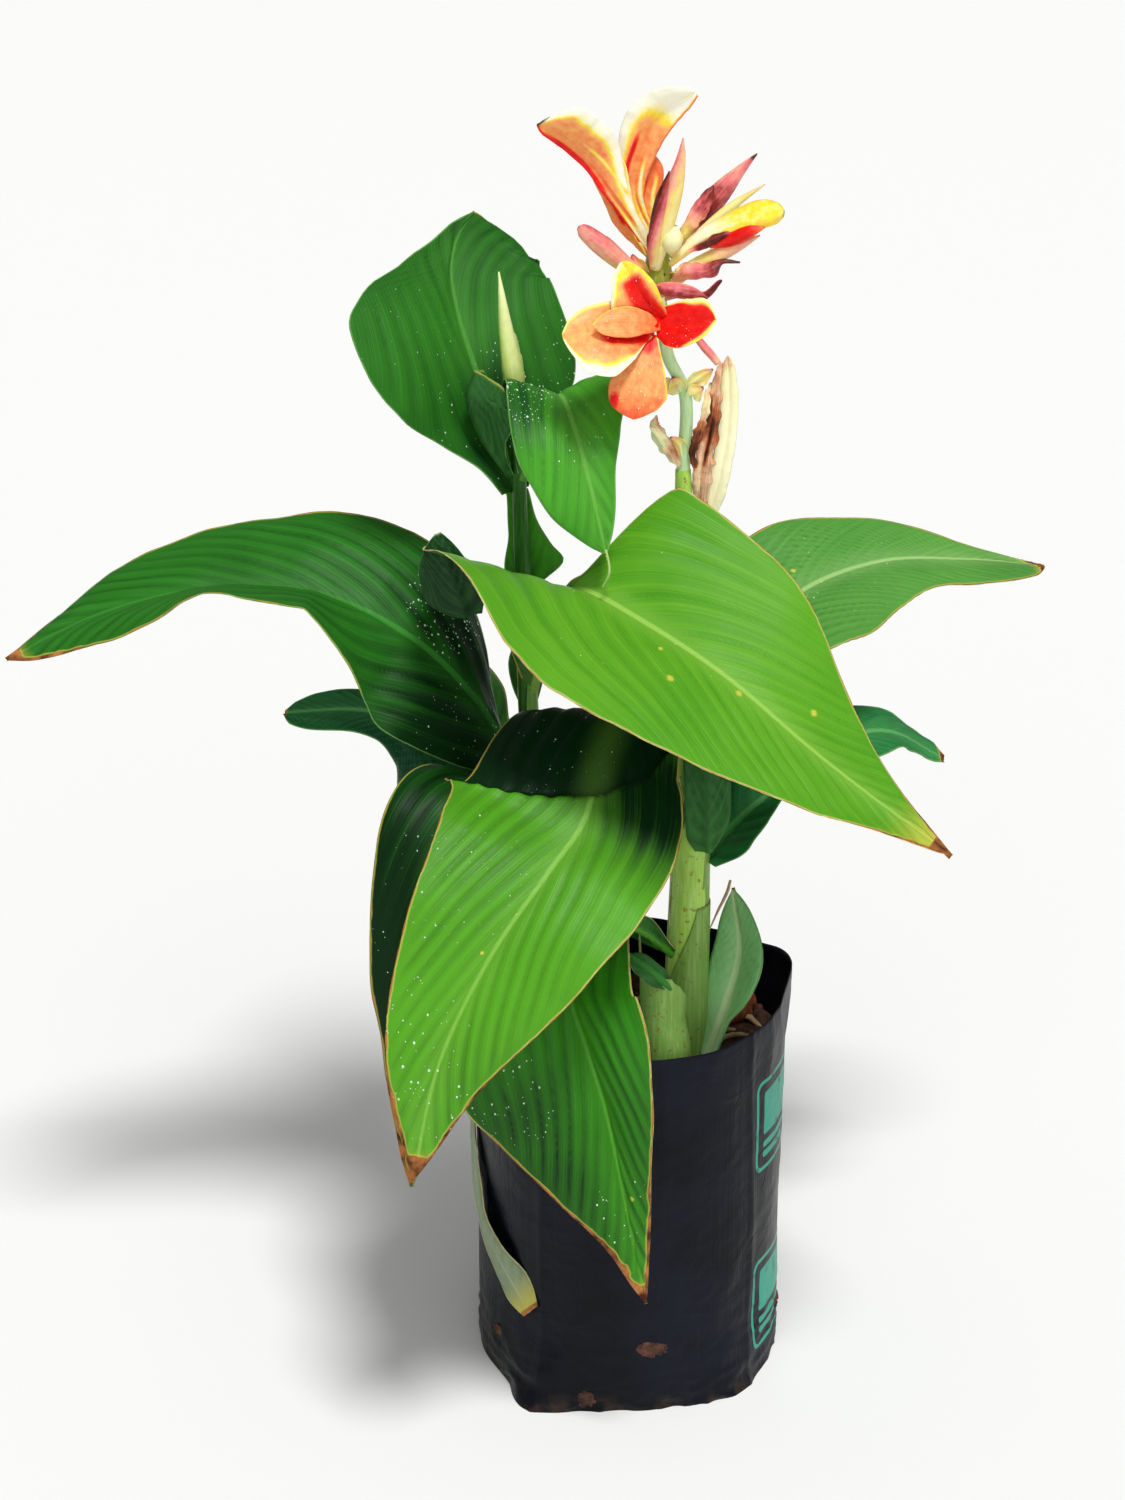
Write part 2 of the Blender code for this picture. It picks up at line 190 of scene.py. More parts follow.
def newMesh(name, points, faces, uvs=None, floats=None, materials=()):
    # an object at the origin, with its place in its mesh
    mesh = bpy.data.meshes.new(name)
    mesh.from_pydata(np.asarray(points, float).tolist(), [], faces)
    mesh.update()
    corners = np.empty(len(mesh.loops), np.int32)
    mesh.loops.foreach_get("vertex_index", corners)
    for key, values in (uvs or {}).items():
        layer = mesh.uv_layers.new(name=key)
        layer.data.foreach_set("uv", np.asarray(values, np.float32)[corners].ravel())
    for key, values in (floats or {}).items():
        mesh.attributes.new(key, "FLOAT", "POINT").data.foreach_set("value", np.asarray(values, np.float32))
    for made in materials:
        mesh.materials.append(made)
    mesh.shade_smooth()
    return newObject(name, mesh)


def settle(obj, dropped=()):
    # the evaluated object as a plain mesh, with its modifiers gone
    depsgraph = bpy.context.evaluated_depsgraph_get()
    mesh = bpy.data.meshes.new_from_object(
        obj.evaluated_get(depsgraph), preserve_all_data_layers=True, depsgraph=depsgraph)
    obj.modifiers.clear()
    obj.vertex_groups.clear()
    obj.data = mesh
    mesh.name = obj.name
    for key in dropped:
        if key in mesh.attributes:
            mesh.attributes.remove(mesh.attributes[key])
    return obj


def place(obj, slot, *nodes):
    # the piece rides with the plant and stands for its plain solids
    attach(obj, "root")
    if nodes:
        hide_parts(*nodes)
    return obj


# camera, floor and light

view = {"place": (-0.042, -2.0, 1.30), "pitch": 66.0, "lens": 87.2, "sensor": 36.0}
studio = {
    "key": {"from": (0.14, -0.46, 1.0), "angle": 13, "strength": 2.35},
    "fill": {"from": (0.10, -1.0, 0.5), "angle": 70, "strength": 0.75},
    "sky": 0.27,  # the sky's strength on the plant
    "seenSky": 0.96,  # and where the view meets it, as bright as the floor
    "floorHalf": 60.0,
    "floorTones": ("#F7F7F5", "#FBFBFA"),
}


def makeStudio():
    scene = bpy.context.scene
    lens = bpy.data.cameras.new("camera")
    lens.sensor_fit = "VERTICAL"
    lens.sensor_height = view["sensor"]
    lens.lens = view["lens"]
    scene.camera = newObject("camera", lens)
    scene.camera.location = view["place"]
    scene.camera.rotation_euler = (math.radians(view["pitch"]), 0, 0)
    for name in ("key", "fill"):
        lamp = studio[name]
        light = bpy.data.lights.new(name, "SUN")
        light.angle = math.radians(lamp["angle"])
        light.energy = lamp["strength"]
        obj = newObject(name, light)
        obj.rotation_euler = (-Vector(lamp["from"])).to_track_quat("-Z", "Y").to_euler()
        obj.location = lamp["from"]
    world = bpy.data.worlds.new("studioSky")
    world.use_nodes = True
    sky = world.node_tree.nodes["Background"]
    sky.inputs["Color"].default_value = linear("#FFFFFF")
    add = partial(addNode, world.node_tree)
    seen = add("ShaderNodeLightPath").outputs["Is Camera Ray"]
    feed(sky, Strength=add("ShaderNodeMath", (seen, studio["seenSky"] - studio["sky"], studio["sky"]),
                           operation="MULTIPLY_ADD"))
    scene.world = world
    scene.view_settings.view_transform = "Standard"
    made, add, shader = startMaterial("paintedStudioFloor", Roughness=0.9)  # matt white paint
    grain = add("ShaderNodeTexNoise", {"Scale": 3.0, "Detail": 2.0})
    feed(shader, Base_Color=add("ShaderNodeMix", (grain, *map(linear, studio["floorTones"])), data_type="RGBA"))
    half = studio["floorHalf"]
    corners = [(-half, -half, 0), (half, -half, 0), (half, half, 0), (-half, half, 0)]
    newMesh("studioFloor", corners, [(0, 1, 2, 3)], materials=[made])


makeStudio()
print("studio ready")


# the bag and what fills it

bag = {
    "levels": (0.0, 10.0, 45.0, 180.0, 250.0),
    "radii": (94.0, 95.0, 95.5, 96.0, 95.0),
    "ears": ((-124, 18), (-48, 7), (50, 8), (135, 14)),  # heading, how far it stands out
    "earRise": (1.0, 0.65, 0.1, 0.0, 0.0),
    "rimCorners": ((14, 8), (-165, 3), (100, 4)),
    "rimRise": (0.0, 0.0, 0.0, 0.2, 1.0),
    "cornerSpread": 15,  # degrees that an ear or a rim corner takes up
    # heading, height and sharpness
    "creases": ((-124, 1.5, 1.0), (-79, 0.5, 0.7), (-39, 1.3, 1.0), (50, 1.4, 1.0), (100, 0.6, 0.8), (135, 1.4, 1.0)),
    "creaseSpread": 2.4,
    "creaseDip": (0.35, 9),  # how much lower the film lies beside a crease, and for how many degrees
    "creaseStray": (1.2, 38),  # degrees that a crease strays on its way up, and the height that takes
    "wallThick": 0.7,
    "wrinkle": 1.5,
    "wrinkleWaves": (2.1, 62),  # waves in a radian round the film, and a wave's millimetres up it
    "bend": (0.8, 1.4),  # how fine and how strong the bend of the folds is
    "folds": (1.25, 0.30), "tucks": (2.2, 6.5, 0.12), "swell": (0.9, 0.5),  # how fine, and how deep
    "footSlack": (24, 0.5, 1.15),  # the height it dies out over, and what it adds to the folds and the tucks
    "rimSlack": (232, 22, 0.55),  # its height, how far it spreads, and what it adds to the folds
    "wrinkleMiddle": 0.35,
    "rim": {"height": 249.5, "wave": 1.6, "lift": (16, 17, 8.0), "dip": (-60, 40, -1.5)},  # heading, spread, height
    "innerFoot": 196.0,  # the inner face ends under the soil
    "sides": 360,
    "rows": 130,
}


def turnFrom(headings, heading):
    # degrees from one heading to others, the short way round
    return (headings - heading + 180) % 360 - 180


def bagReach(headings, z):
    # how far out the film is, in millimetres, at each heading in degrees and height in millimetres
    headings, z = np.broadcast_arrays(np.asarray(headings, float), np.asarray(z, float))
    reach = np.interp(z, bag["levels"], bag["radii"])
    for corners, rise in (("ears", "earRise"), ("rimCorners", "rimRise")):
        share = np.interp(z, bag["levels"], bag[rise])
        for heading, height in bag[corners]:
            reach = reach + share * height * np.exp(-((turnFrom(headings, heading) / bag["cornerSpread"]) ** 2))
    (dip, dipSpread), (stray, strayHeight) = bag["creaseDip"], bag["creaseStray"]
    for heading, height, sharp in bag["creases"]:
        away = turnFrom(headings - stray * np.sin(z / strayHeight + heading), heading)
        reach = (reach + height * np.exp(-np.abs(away) / (bag["creaseSpread"] * sharp))
                 - dip * height * np.exp(-((away / dipSpread) ** 2)))
    # crumples: broad folds and flat tucks, deepest at the foot and under the rim
    depths = []
    (around, tall), (bendFine, bendStrong), (foldFine, foldDeep) = bag["wrinkleWaves"], bag["bend"], bag["folds"]
    (tuckFine, tuckTall, tuckDeep), (swellFine, swellDeep) = bag["tucks"], bag["swell"]
    (footHeight, footFold, footTuck), (slackLevel, slackSpread, slackFold) = bag["footSlack"], bag["rimSlack"]
    for heading, level in zip(np.radians(headings).ravel(), z.ravel()):
        at = Vector((math.cos(heading) * around, math.sin(heading) * around, level / tall))
        bend = noise.noise(at * bendFine) * bendStrong
        fold = 1 - 2 * abs(noise.noise(at * foldFine + Vector((bend, 0, bend))))
        flat = Vector((at.x * tuckFine, at.y * tuckFine, at.z * tuckTall))
        tuck = 1 - 2 * abs(noise.noise(flat + Vector((0, bend, 0))))
        low = math.exp(-level / footHeight)
        slack = slackFold * math.exp(-((level - slackLevel) / slackSpread) ** 2)
        depths.append((foldDeep + footFold * low + slack) * fold + (tuckDeep + footTuck * low) * tuck
                      + swellDeep * noise.noise(at * swellFine))
    return reach + bag["wrinkle"] * (np.array(depths).reshape(z.shape) - bag["wrinkleMiddle"])


def rimHeight(headings):
    # the cut edge of the film dips at the front and lifts at the right corner
    rim = bag["rim"]
    height = rim["height"] + rim["wave"] * wander(headings / 360 * 3, 4)
    for heading, width, rise in (rim["lift"], rim["dip"]):
        height = height + rise * np.exp(-((turnFrom(headings, heading) / width) ** 2))
    return height


film = {
    # the lighter bluish tone is partly scuffs and partly a painted sheen
    "tones": ((0.34, "#030407"), (0.72, "#121623")),
    "ink": "#2FA287",
    "mud": "#33251C",
    "radius": 95.5,
    "panelTurn": 20.0,  # millimetres round the bag from its right side to the panels' middle
    "panelFoot": 18.0,
    "panelStep": 128.0,
    "frame": ((0, 32, 40, 32, 7), (0, 32, 37.4, 29.4, 5)),  # middle, half sizes and corner radius, outside and inside
    "marks": ((0, 40, 31, 15, 2), (-8, 18, 23, 2.2, 2), (-14, 11, 17, 2.2, 2)),
    "inkEdge": 0.15,
    "worn": (0.30, 0.42), "outside": (0.0, 0.01),  # where specks of ink are rubbed off, and where the outside starts
    "mudHeight": (0.014, 0.0), "mudSpecks": (0.48, 0.62),
    "rough": (0.3, 0.75, 0.30, 0.52),  # from the scuffs' range to the roughness's
}


def blackFilm():
    # black polythene film, blown and folded flat: near black, scuffed dull, printed in teal, with a cold soft sheen
    # that is partly a painted sheen in the lighter bluish patches of its colour
    made, add, shader = startMaterial("blownBlackPolytheneFilm", IOR=1.51, Specular_IOR_Level=0.13)
    where = add("ShaderNodeTexCoord").outputs["Object"]
    axes = add("ShaderNodeSeparateXYZ", (where,)).outputs
    scuffAndSheen = add("ShaderNodeTexNoise", {"Vector": where, "Scale": 14.0, "Detail": 6.0, "Roughness": 0.62})
    dust = add("ShaderNodeTexNoise", {"Vector": where, "Scale": 90.0, "Detail": 4.0})
    colour = add("ShaderNodeValToRGB", (scuffAndSheen,), film["tones"])
    # printed panels, one over the other: each a plain frame, a block and two bars
    turn = add("ShaderNodeMath", (axes["Y"], axes["X"]), operation="ARCTAN2")
    arc = add("ShaderNodeMath", (turn, film["radius"], film["panelTurn"]), operation="MULTIPLY_ADD")
    level = add("ShaderNodeMath", (axes["Z"], 1 / mm, -film["panelFoot"]), operation="MULTIPLY_ADD")
    step = add("ShaderNodeMath", (level, film["panelStep"]), operation="FLOORED_MODULO")
    boxes = []
    for x, y, halfX, halfY, corner in (*film["frame"], *film["marks"]):
        overs = []
        for side, middle, half in ((arc, x, halfX), (step, y, halfY)):
            away = add("ShaderNodeMath", (side, middle), operation="SUBTRACT")
            size = add("ShaderNodeMath", (away,), operation="ABSOLUTE")
            less = add("ShaderNodeMath", (size, half - corner), operation="SUBTRACT")
            overs.append(add("ShaderNodeMath", (less, 0.0), operation="MAXIMUM"))
        length = add("ShaderNodeVectorMath", (add("ShaderNodeCombineXYZ", overs),), operation="LENGTH")
        boxes.append(add("ShaderNodeMapRange", (length, corner + film["inkEdge"], corner - film["inkEdge"])))
    ink = add("ShaderNodeMath", boxes[:2], operation="SUBTRACT", use_clamp=True)
    for box in boxes[2:]:
        ink = add("ShaderNodeMath", (ink, box), operation="MAXIMUM")
    # the ink is rubbed off in specks, and it is on the outside only
    flat = add("ShaderNodeVectorMath", (where, (1, 1, 0)), operation="MULTIPLY")
    facing = add("ShaderNodeVectorMath", (flat, add("ShaderNodeNewGeometry").outputs["Normal"]),
                 operation="DOT_PRODUCT")
    for source, limits in ((dust, film["worn"]), (facing, film["outside"])):
        ink = add("ShaderNodeMath", (ink, add("ShaderNodeMapRange", (source, *limits))), operation="MULTIPLY")
    # soil dust gathers on the lowest folds
    low = add("ShaderNodeMapRange", (axes["Z"], *film["mudHeight"]))
    specks = add("ShaderNodeMapRange", (dust, *film["mudSpecks"]))
    mud = add("ShaderNodeMath", (low, specks), operation="MULTIPLY")
    for factor, paint in ((ink, film["ink"]), (mud, film["mud"])):
        colour = add("ShaderNodeMix", (factor, colour, linear(paint)), data_type="RGBA")
    rough = add("ShaderNodeMapRange", (scuffAndSheen, *film["rough"]))
    # die lines run up the film, a few millimetres apart, over soft crumples
    lines = add("ShaderNodeMapping", {"Vector": where, "Scale": (320, 320, 5)})
    die = add("ShaderNodeTexNoise", {"Vector": lines, "Scale": 1.0, "Detail": 2.0})
    soft = add("ShaderNodeTexNoise", {"Vector": where, "Scale": 45.0, "Detail": 3.0, "Distortion": 1.2})
    height = add("ShaderNodeMath", (soft, 4.0, die), operation="MULTIPLY_ADD")
    bump = add("ShaderNodeBump", {"Height": height, "Strength": 0.35, "Distance": 0.0009})
    feed(shader, Base_Color=colour, Roughness=rough, Normal=bump)
    return made


def makeBag():
    sides, wall = bag["sides"], bag["wallThick"]
    headings = np.linspace(-180, 180, sides, endpoint=False)
    rim = rimHeight(headings)
    turn = np.radians(headings)
    rings = []

    def ring(reach, level):
        rings.append(np.stack([reach * np.cos(turn), reach * np.sin(turn), level], 1) * mm)

    foot = bagReach(headings, 0.0)
    for share in (0.25, 0.5, 0.75, 0.93):  # the flat underside, from near its middle out
        ring(foot * share, np.zeros(sides))
    for part in np.linspace(0, 1, bag["rows"]) ** 1.25:
        level = part * rim
        ring(bagReach(headings, level), level)
    ring(bagReach(headings, rim) - wall / 2, rim + wall * 0.4)
    for part in np.linspace(0, 1, 14):  # the inner face, down to under the soil
        level = rim + (bag["innerFoot"] - rim) * part
        ring(bagReach(headings, level) - wall, level)
    for share in (0.7, 0.35):
        ring(bagReach(headings, bag["innerFoot"]) * share, np.full(sides, bag["innerFoot"]))
    faces = gridFaces(len(rings), sides, closed=True)
    faces.append(tuple(reversed(range(sides))))
    faces.append(tuple(range((len(rings) - 1) * sides, len(rings) * sides)))
    place(newMesh("growBagFilm", np.vstack(rings), faces, materials=[blackFilm()]), "bag_film", "grow_bag")


soil = {
    "top": 212.0, "bottom": 199.0, "relief": 2.4, "lumpSize": 16, "edgeDip": 3.0, "clear": 1.6,
    "rings": 26, "sides": 120,
    "crumbs": {"Per Square Metre": 26000.0, "Smallest": 0.9 * mm, "Largest": 2.9 * mm, "Seed": 5},
}
# ragged drain holes near the foot of the bag, with soil showing in them: heading, height, width and height of the
# hole, and its own seed
drains = {
    "holes": ((-82, 45, 19, 12, 1), (-106, 9, 10, 12, 2), (-150, 30, 12, 9, 3), (-8, 30, 14, 9, 4),
              (40, 44, 16, 10, 5), (100, 40, 16, 10, 6)),
    "radius": 96, "lowest": 0.6, "ragged": 0.22, "ragLength": 2.1, "bulge": 0.9, "sunk": 0.15, "sides": 30, "rings": 7,
    "crumbs": {"Per Square Metre": 220000.0, "Smallest": 0.4 * mm, "Largest": 1.3 * mm, "Seed": 9},
}


def pottingSoil():
    # moist potting soil of peat and bark: dark brown, matt, with red-brown crumbs
    made, add, shader = startMaterial("moistPeatPottingSoil", Roughness=0.92)
    where = add("ShaderNodeTexCoord").outputs["Object"]
    lumps = add("ShaderNodeTexNoise", {"Vector": where, "Scale": 160.0, "Detail": 6.0, "Roughness": 0.65})
    feed(shader, Base_Color=add("ShaderNodeValToRGB", (lumps,), ((0.35, "#22150F"), (0.70, "#6E4230"))),
         Normal=add("ShaderNodeBump", {"Height": lumps, "Strength": 0.9, "Distance": 0.0015}))
    return made


def crumbTree():
    # scatters crumbs over a surface, each an uneven pebble turned and sized at random
    tree, add, given = startTree("soilCrumbs", {"Per Square Metre": 20000.0, "Smallest": 0.001, "Largest": 0.003,
                                                "Seed": 0})
    spots = add("GeometryNodeDistributePointsOnFaces", {
        "Mesh": given["Geometry"], "Density": given["Per Square Metre"], "Seed": given["Seed"]})
    pebble = add("GeometryNodeMeshIcoSphere", {"Radius": 1.0, "Subdivisions": 1})
    lump = add("ShaderNodeTexNoise", {"Scale": 1.1, "Detail": 1.0})
    push = add("ShaderNodeVectorMath", (lump.outputs["Color"], (0.5, 0.5, 0.62)), operation="SUBTRACT")
    uneven = add("GeometryNodeSetPosition", {"Geometry": pebble, "Offset": push})
    size = add("FunctionNodeRandomValue", {2: given["Smallest"], 3: given["Largest"], "Seed": given["Seed"]},
               data_type="FLOAT")
    turned = add("FunctionNodeRandomValue", {0: (0.0, 0.0, 0.0), 1: (6.28, 6.28, 6.28), "Seed": given["Seed"]},
                 data_type="FLOAT_VECTOR")
    many = add("GeometryNodeInstanceOnPoints", {"Points": spots, "Instance": uneven, "Rotation": turned,
                                                "Scale": size})
    return endTree(tree, many, given)


def makeSoil(skin, crumbs):
    rings, sides = soil["rings"], soil["sides"]
    headings = np.linspace(-180, 180, sides, endpoint=False)
    turn = np.radians(headings)
    reach = bagReach(headings, soil["top"]) - bag["wallThick"] - soil["clear"]
    lump = soil["lumpSize"]
    layers = []
    for share in np.linspace(0.03, 1, rings):
        x, y = reach * share * np.cos(turn), reach * share * np.sin(turn)
        rise = np.array([noise.fractal(Vector((a / lump, b / lump, 3.0)), 1.0, 2.1, 4) for a, b in zip(x, y)])
        level = soil["top"] + soil["relief"] * rise - soil["edgeDip"] * ease(0.93, 1.0, share)
        layers.append(np.stack([x, y, level], 1) * mm)
    low = layers[-1].copy()
    low[:, 2] = soil["bottom"] * mm
    layers.append(low)
    points = np.vstack(layers)
    faces = gridFaces(rings + 1, sides, closed=True, flipped=True)
    ends = [tuple(range(sides)), tuple(reversed(range(rings * sides, (rings + 1) * sides)))]
    place(newMesh("pottingSoil", points, faces + ends, materials=[skin]), "potting_soil", "soil_fill")
    sheet = newMesh("soilCrumbs", points[:rings * sides], faces[:(rings - 1) * sides], materials=[skin])
    runTree(sheet, crumbs, {**soil["crumbs"], "Material": skin})
    place(settle(sheet), "potting_soil")


def makeDrains(skin, crumbs):
    points, faces = [], []
    sides, rings = drains["sides"], drains["rings"]
    for heading, level, wide, high, seed in drains["holes"]:
        first = len(points)
        for ring in range(rings):
            share = ring / (rings - 1)
            for i in range(sides):
                turn = 2 * math.pi * i / sides
                rag = 1 + drains["ragged"] * float(wander(np.array(turn / drains["ragLength"]), seed)) * share
                side, up = math.cos(turn) * wide / 2 * share * rag, math.sin(turn) * high / 2 * share * rag
                bearing = heading + math.degrees(side / drains["radius"])
                height = max(drains["lowest"], level + up)
                reach = float(bagReach(bearing, height)) + drains["bulge"] * (1 - share ** 4) - drains["sunk"]
                points.append((reach * math.cos(math.radians(bearing)) * mm,
                               reach * math.sin(math.radians(bearing)) * mm, height * mm))
        for face in gridFaces(rings, sides, closed=True):  # with triangles round the middle
            faces.append(tuple(first + corner for corner in (face if face[0] >= sides else face[:1] + face[2:])))
    obj = newMesh("drainHoleSoil", points, faces, materials=[skin])
    work = bmesh.new()
    work.from_mesh(obj.data)
    bmesh.ops.remove_doubles(work, verts=work.verts, dist=1e-5)
    bmesh.ops.recalc_face_normals(work, faces=work.faces)
    for face in work.faces:
        middle = face.calc_center_median()
        if face.normal.x * middle.x + face.normal.y * middle.y < 0:
            face.normal_flip()
    work.to_mesh(obj.data)
    work.free()
    sheet = newMesh("drainHoleCrumbs", [tuple(v.co) for v in obj.data.vertices],
                    [tuple(f.vertices) for f in obj.data.polygons], materials=[skin])
    runTree(sheet, crumbs, {**drains["crumbs"], "Material": skin})
    place(obj, "potting_soil")
    place(settle(sheet), "potting_soil")


makeBag()
soilSkin, crumbScatter = pottingSoil(), crumbTree()
makeSoil(soilSkin, crumbScatter)
makeDrains(soilSkin, crumbScatter)
print("bag and soil ready")


# stems: (x, y, z, radius) in millimetres, from the soil up

stems = {
    "main": ((32, -34, 205, 13.5), (35, -30, 352, 11), (32, -14, 480, 7.5), (28, -4, 590, 4.5)),
    "left": ((-50, 20, 205, 8), (-58, 12, 340, 6), (-63, 8, 440, 5.5), (-68, 8, 600, 4)),
    "cut": ((23, -66, 205, 13), (21, -65, 245, 13), (18, -63, 262, 12)),
    "stalk": ((28, -4, 586, 4), (29, -8, 634, 3.8), (18, -9, 662, 3.6), (13, -6, 697, 4)),
    "hub": ((13, -6, 692, 4), (13, -4, 706, 7.5), (12, -2, 716, 7), (12, 0, 724, 4)),
}


def beside(stem, height, heading, clear=1.0):
    # a place against a stem, this far out from its bark
    x, y, z, radius = np.array(stems[stem], float).T
    reach = np.interp(height, z, radius) + clear
    turn = math.radians(heading)
    return (np.interp(height, z, x) + reach * math.cos(turn), np.interp(height, z, y) + reach * math.sin(turn),
            height)


# leaves

def reliefTree():
    # raises the pleats between the side veins and ripples the margin of a sheet, along its normals
    tree, add, given = startTree("leafRelief", {
        "Pleat Height": 0.001, "Pleat Spacing": 0.9, "Ripple Height": 0.002, "Ripple Length": 6.0,
        "Buckle Height": 0.002, "Shift": 0.0, "Groove Shade": 0.5})
    vein, span, along = (add("GeometryNodeInputNamedAttribute", {"Name": key}, data_type="FLOAT")
                         for key in ("vein", "span", "along"))
    far = add("ShaderNodeMath", (span,), operation="ABSOLUTE")
    # uneven pleats: the crest between two veins, higher here and lower there
    squeezed = add("ShaderNodeMath", (vein, 0.55), operation="MULTIPLY")
    wave = add("ShaderNodeCombineXYZ", (squeezed, span, given["Shift"]))
    uneven = add("ShaderNodeTexNoise", {"Vector": wave, "Scale": 0.9, "Detail": 2.0})
    bent = add("ShaderNodeMath", (uneven, 0.9, vein), operation="MULTIPLY_ADD")
    turns = add("ShaderNodeMath", (bent, math.pi), operation="MULTIPLY")
    phase = add("ShaderNodeMath", (turns, given["Pleat Spacing"]), operation="DIVIDE")
    sine = add("ShaderNodeMath", (add("ShaderNodeMath", (phase,), operation="SINE"),), operation="ABSOLUTE")
    ridge = add("ShaderNodeMath", (sine, 0.62), operation="SUBTRACT")
    inner = add("ShaderNodeMapRange", (far, 0.01, 0.14), interpolation_type="SMOOTHSTEP")
    outer = add("ShaderNodeMapRange", (far, 1.0, 0.75), interpolation_type="SMOOTHSTEP")
    strength = add("ShaderNodeMapRange", (uneven, 0.3, 0.65, 0.35, 1.25))
    for share in (strength, inner, outer):
        ridge = add("ShaderNodeMath", (ridge, share), operation="MULTIPLY")
    # the margin waves up and down, each side on its own, and the whole blade buckles softly
    beat = add("ShaderNodeMath", (along, given["Ripple Length"]), operation="DIVIDE")
    hand = add("ShaderNodeMath", (span,), operation="SIGN")
    side = add("ShaderNodeMath", (hand, 7.3, given["Shift"]), operation="MULTIPLY_ADD")
    quick = add("ShaderNodeMath", (beat, 1.6), operation="MULTIPLY")
    across = add("ShaderNodeMath", (span, 1.1), operation="MULTIPLY")
    edge = add("ShaderNodeTexNoise", {"Vector": add("ShaderNodeCombineXYZ", (quick, side)), "Scale": 1.0,
                                      "Detail": 1.5})
    broad = add("ShaderNodeTexNoise", {"Vector": add("ShaderNodeCombineXYZ", (beat, across, given["Shift"])),
                                       "Scale": 1.3, "Detail": 1.0})
    total = add("ShaderNodeMath", (ridge, given["Pleat Height"]), operation="MULTIPLY")
    outward = add("ShaderNodeMath", (far, 2.4), operation="POWER")
    for source, reach, share, height in ((edge, outward, 3.2, "Ripple Height"), (broad, inner, 2.0, "Buckle Height")):
        wave = add("ShaderNodeMath", (source, 0.5), operation="SUBTRACT")
        for factor in (reach, share, given[height]):
            wave = add("ShaderNodeMath", (wave, factor), operation="MULTIPLY")
        total = add("ShaderNodeMath", (total, wave), operation="ADD")
    push = add("ShaderNodeVectorMath", (add("GeometryNodeInputNormal"), total), operation="SCALE")
    # painted shade: the skin's colour goes darker in the pleats' grooves and lighter on their crests
    shade = add("ShaderNodeMath", (ridge, given["Groove Shade"]), operation="MULTIPLY")
    kept = add("GeometryNodeStoreNamedAttribute", {"Geometry": given["Geometry"], "Name": "crest", "Value": shade},
               data_type="FLOAT", domain="POINT")
    return endTree(tree, add("GeometryNodeSetPosition", {"Geometry": kept, "Offset": push}), given)


leafRelief = reliefTree()


def readMaps(add):
    # what every leaf skin reads: its maps in centimetres, and where it is in the object
    maps = [add("ShaderNodeSeparateXYZ", (add("ShaderNodeUVMap", uv_map=name),)).outputs
            for name in ("veins", "edges", "middle", "age")]
    veins, edges, middle, age = maps
    where = add("ShaderNodeTexCoord").outputs["Object"]
    return veins["Y"], edges["X"], edges["Y"], middle["X"], middle["Y"], age["X"], where


leafPaint = {
    # side veins stand every 9 mm with finer ones every 2.2 mm between; real fine ones are nearer 1 mm
    "veinSteps": ((0.9, 14.0), (0.22, 2.0)),  # centimetres apart, and sharpness
    "threads": (7.0, 0.25),  # how fine the streaks are across and along the veins
    "toneMiddle": -0.70,
    "toneShares": {"cloud": 0.8, "threads": 0.60, "main": 0.08, "crest": 1.0, "fine": 0.06},
    "speckle": (0.10, -0.05),
    "raggedDry": (0.2, 0.5, 0.14),
    # each layer of colour starts and ends here on its own map, and covers this share
    "glow": (-1.5, 0.1, 0.22), "rib": (-0.10, 0.05, 0.85), "margin": (0.11, 0.05, 0.8),
    "ripe": (0.0, 1.0, 0.85), "yellowing": (-0.14, -0.03, 0.7),
    "ribShade": (-0.35, 0.2), "dead": (-0.03, 0.03),  # the rib is hidden where the tone is dark, as in a fold's or patch's painted shade; dry tissue goes brown
    "ripeColour": "#CFC64A", "yellowingColour": "#B9B84A", "scorch": ((0.38, "#4A2413"), (0.62, "#B5763F")),
    "cloudRough": (0.16, -0.08), "underRough": 0.16, "deadRough": 0.35,
    "liftShares": {"main": -0.45, "fine": 0.10, "threads": 0.55, "speck": 0.16}, "underVeins": 0.8, "deadLift": 2.0,
}


